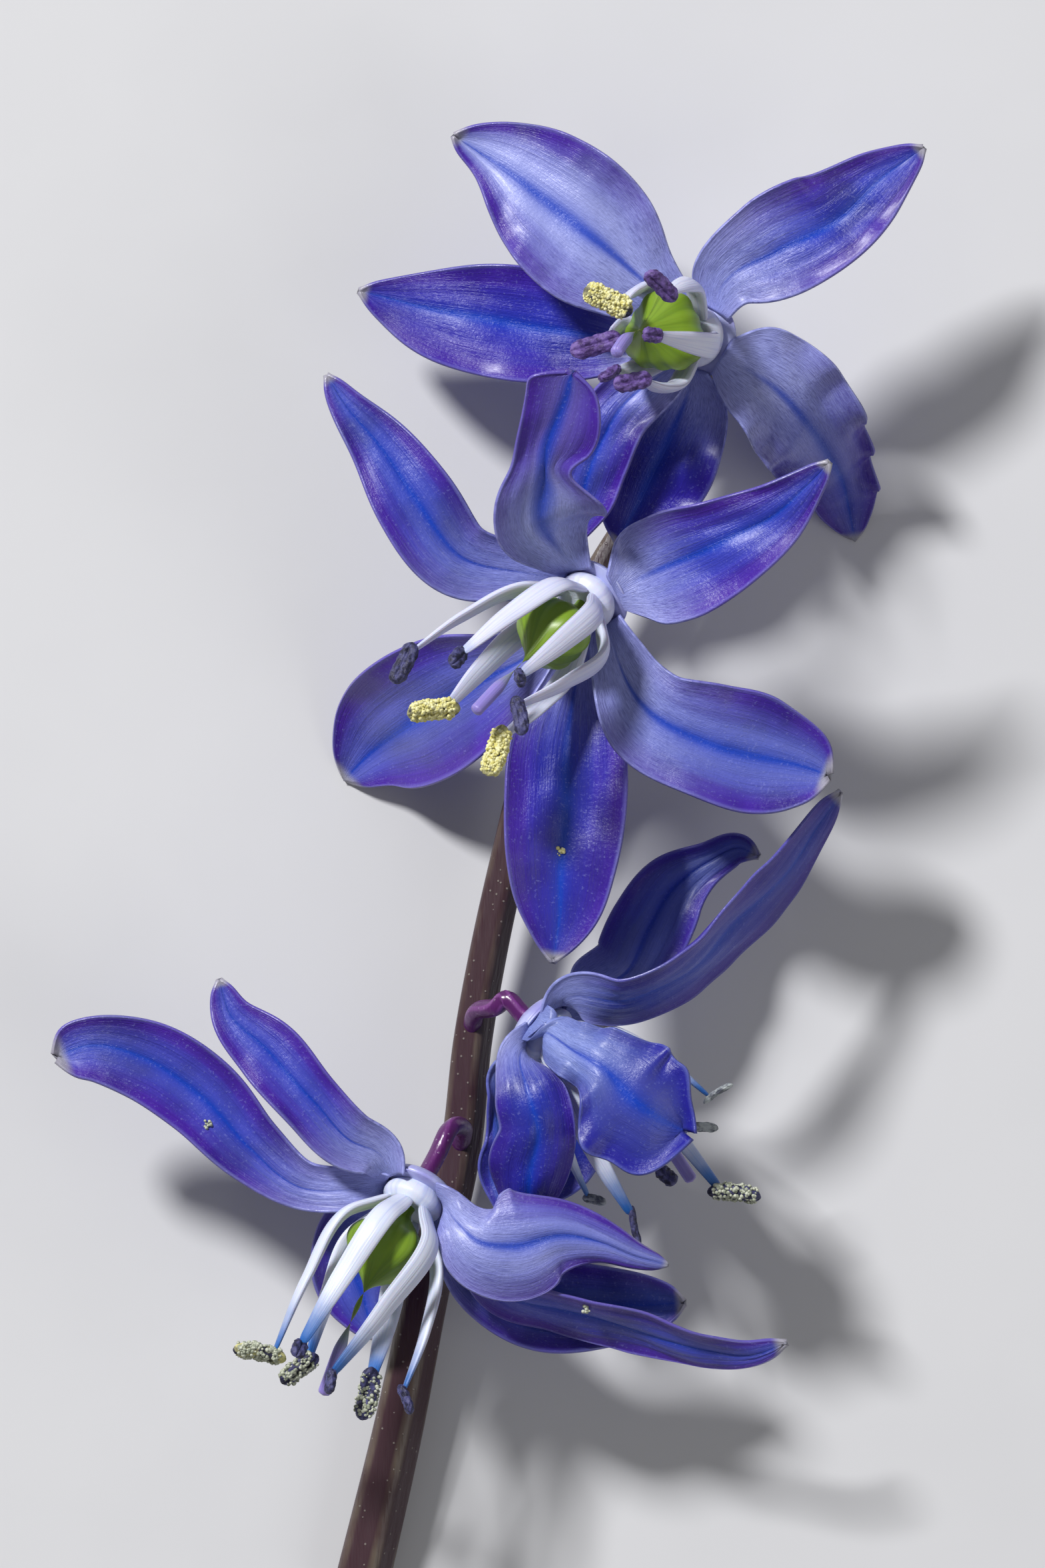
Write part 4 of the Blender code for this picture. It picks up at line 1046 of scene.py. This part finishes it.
# A flower's pieces, from the tepals inwards. This order keeps the seeded draws the same.
def buildFlower(flower, random):
    name = flower["name"]
    centre, axis = flowerAxis(flower)
    tepalNode, stamenNode = name + "_tepals", name + "_stamens"
    grains = []
    dust = np.random.default_rng(pollen["seed"])
    for own in flower["tepals"]:
        tepal = {**plainTepal, **own}
        label = name + "Tepal." + tepal["name"]
        grid, across, along = tepalGrid(tepal, centre, axis, random)
        keepAboveFloor(grid)
        makePiece(label, grid, across, along, tepalNode, tepalMaterial(label, tepal))
        if "crumb" in tepal:
            grains.append(drawCrumb(grid, tepal["crumb"], dust))
    fineness = (receptacle["long"], receptacle["around"])
    grid, across, along = turnedGrid(receptacle["profile"], centre, axis, *fineness)
    makePiece(name + "Receptacle", grid, across, along, tepalNode, receptacleMaterial)
    ribbon = blueFilament if name in ("flower3", "flower4") else whiteFilament
    fineness = (collar["long"], collar["around"])
    grid, across, along = turnedGrid(collar["profile"], centre, axis, *fineness)
    makePiece(name + "Collar", grid, across, along * 0.4, stamenNode, ribbon)
    for number, own in enumerate(flower["stamens"]):
        stamen = {**plainStamen, **own}
        grid, across, along = filamentGrid(flower, stamen, centre, axis)
        makePiece(f"{name}Filament.{number}", grid, across, along, stamenNode, ribbon)
        end = centre + np.asarray(stamen["end"])
        length = anther["length"] * stamen["size"]
        heading = unit(np.asarray(stamen["anther"]))
        grid, across, along = antherGrid(end, heading, axis, length, stamen["slim"])
        look = antherLook(name, stamen)
        makePiece(f"{name}Anther.{number}", grid, across, along, stamenNode, look)
        if stamen["pollen"] > 0:
            grains.append(drawGrains(grid, stamen["pollen"], dust))
    dusty = greyPollen if name in ("flower3", "flower4") else yellowPollen
    pollenPiece(name + "Pollen", grains, dust, stamenNode, dusty)
    grid, across, along = pistilGrid(flower, centre, axis)
    makePiece(name + "Pistil", grid, across, along, name + "_pistil", pistilMaterial)


draws = np.random.default_rng(blade["seed"])
buildStem()
print("stem built")
for flower in flowers:
    buildFlower(flower, draws)
    print(flower["name"], "built")

# Floor, lights and camera, in metres and watts
studio = {
    "floorColour": (0.66, 0.66, 0.68),
    "floorSize": 3.0,
    "floorMottle": 0.06,
    "world": 0.16,
    "key": {"place": (-0.54, 0.66, 0.8), "size": 0.19, "power": 15.5},
    "fill": {"place": (0.9, -0.45, 0.9), "size": 0.9, "power": 3.0},
}


# A plain level square
def buildFloor():
    half = studio["floorSize"] / 2
    mesh = bpy.data.meshes.new("floor")
    corners = [(-half, -half, 0), (half, -half, 0), (half, half, 0), (-half, half, 0)]
    mesh.from_pydata(corners, [], [(0, 1, 2, 3)])
    floor = bpy.data.objects.new("floor", mesh)
    bpy.context.scene.collection.objects.link(floor)
    first = studio["floorColour"]
    second = mixTriple(first, (1, 1, 1), studio["floorMottle"])
    mesh.materials.append(grainMaterial("floorPale", first, second, 30.0, 0.02, 0.8))


# A round lamp that faces the plant
def buildLight(name, values):
    data = bpy.data.lights.new(name, "AREA")
    data.shape = "DISK"
    data.size = values["size"]
    data.energy = values["power"]
    lamp = bpy.data.objects.new(name, data)
    lamp.location = values["place"]
    bpy.context.scene.collection.objects.link(lamp)
    towards = -np.asarray(values["place"])
    lamp.rotation_euler = Vector(towards).to_track_quat("-Z", "Y").to_euler()


# Straight above, so far away and so narrow that the frame at the flowers' height is the photograph's
def buildCamera():
    frameHeight = view["photoHeight"] / view["pixelsPerMm"]
    data = bpy.data.cameras.new("camera")
    data.sensor_width = view["sensor"]
    data.lens = view["sensor"] * view["distance"] * 1000 / frameHeight
    data.clip_start, data.clip_end = 0.01, 10.0
    camera = bpy.data.objects.new("camera", data)
    across = (view["centrePixel"][0] - view["originPixel"][0]) / view["pixelsPerMm"] + shift[0]
    along = (view["originPixel"][1] - view["centrePixel"][1]) / view["pixelsPerMm"] + shift[1]
    camera.location = (across * mm, along * mm, view["distance"] + view["focusHeight"] * mm)
    bpy.context.scene.collection.objects.link(camera)
    bpy.context.scene.camera = camera


buildFloor()
buildLight("key", studio["key"])
buildLight("fill", studio["fill"])
buildCamera()
world = bpy.data.worlds.new("studio")
world.use_nodes = True
world.node_tree.nodes["Background"].inputs["Color"].default_value = (1.0, 1.0, 1.0, 1.0)
world.node_tree.nodes["Background"].inputs["Strength"].default_value = studio["world"]
bpy.context.scene.world = world
bpy.context.scene.view_settings.view_transform = "Standard"
print("stage set")

bpy.context.view_layer.update()
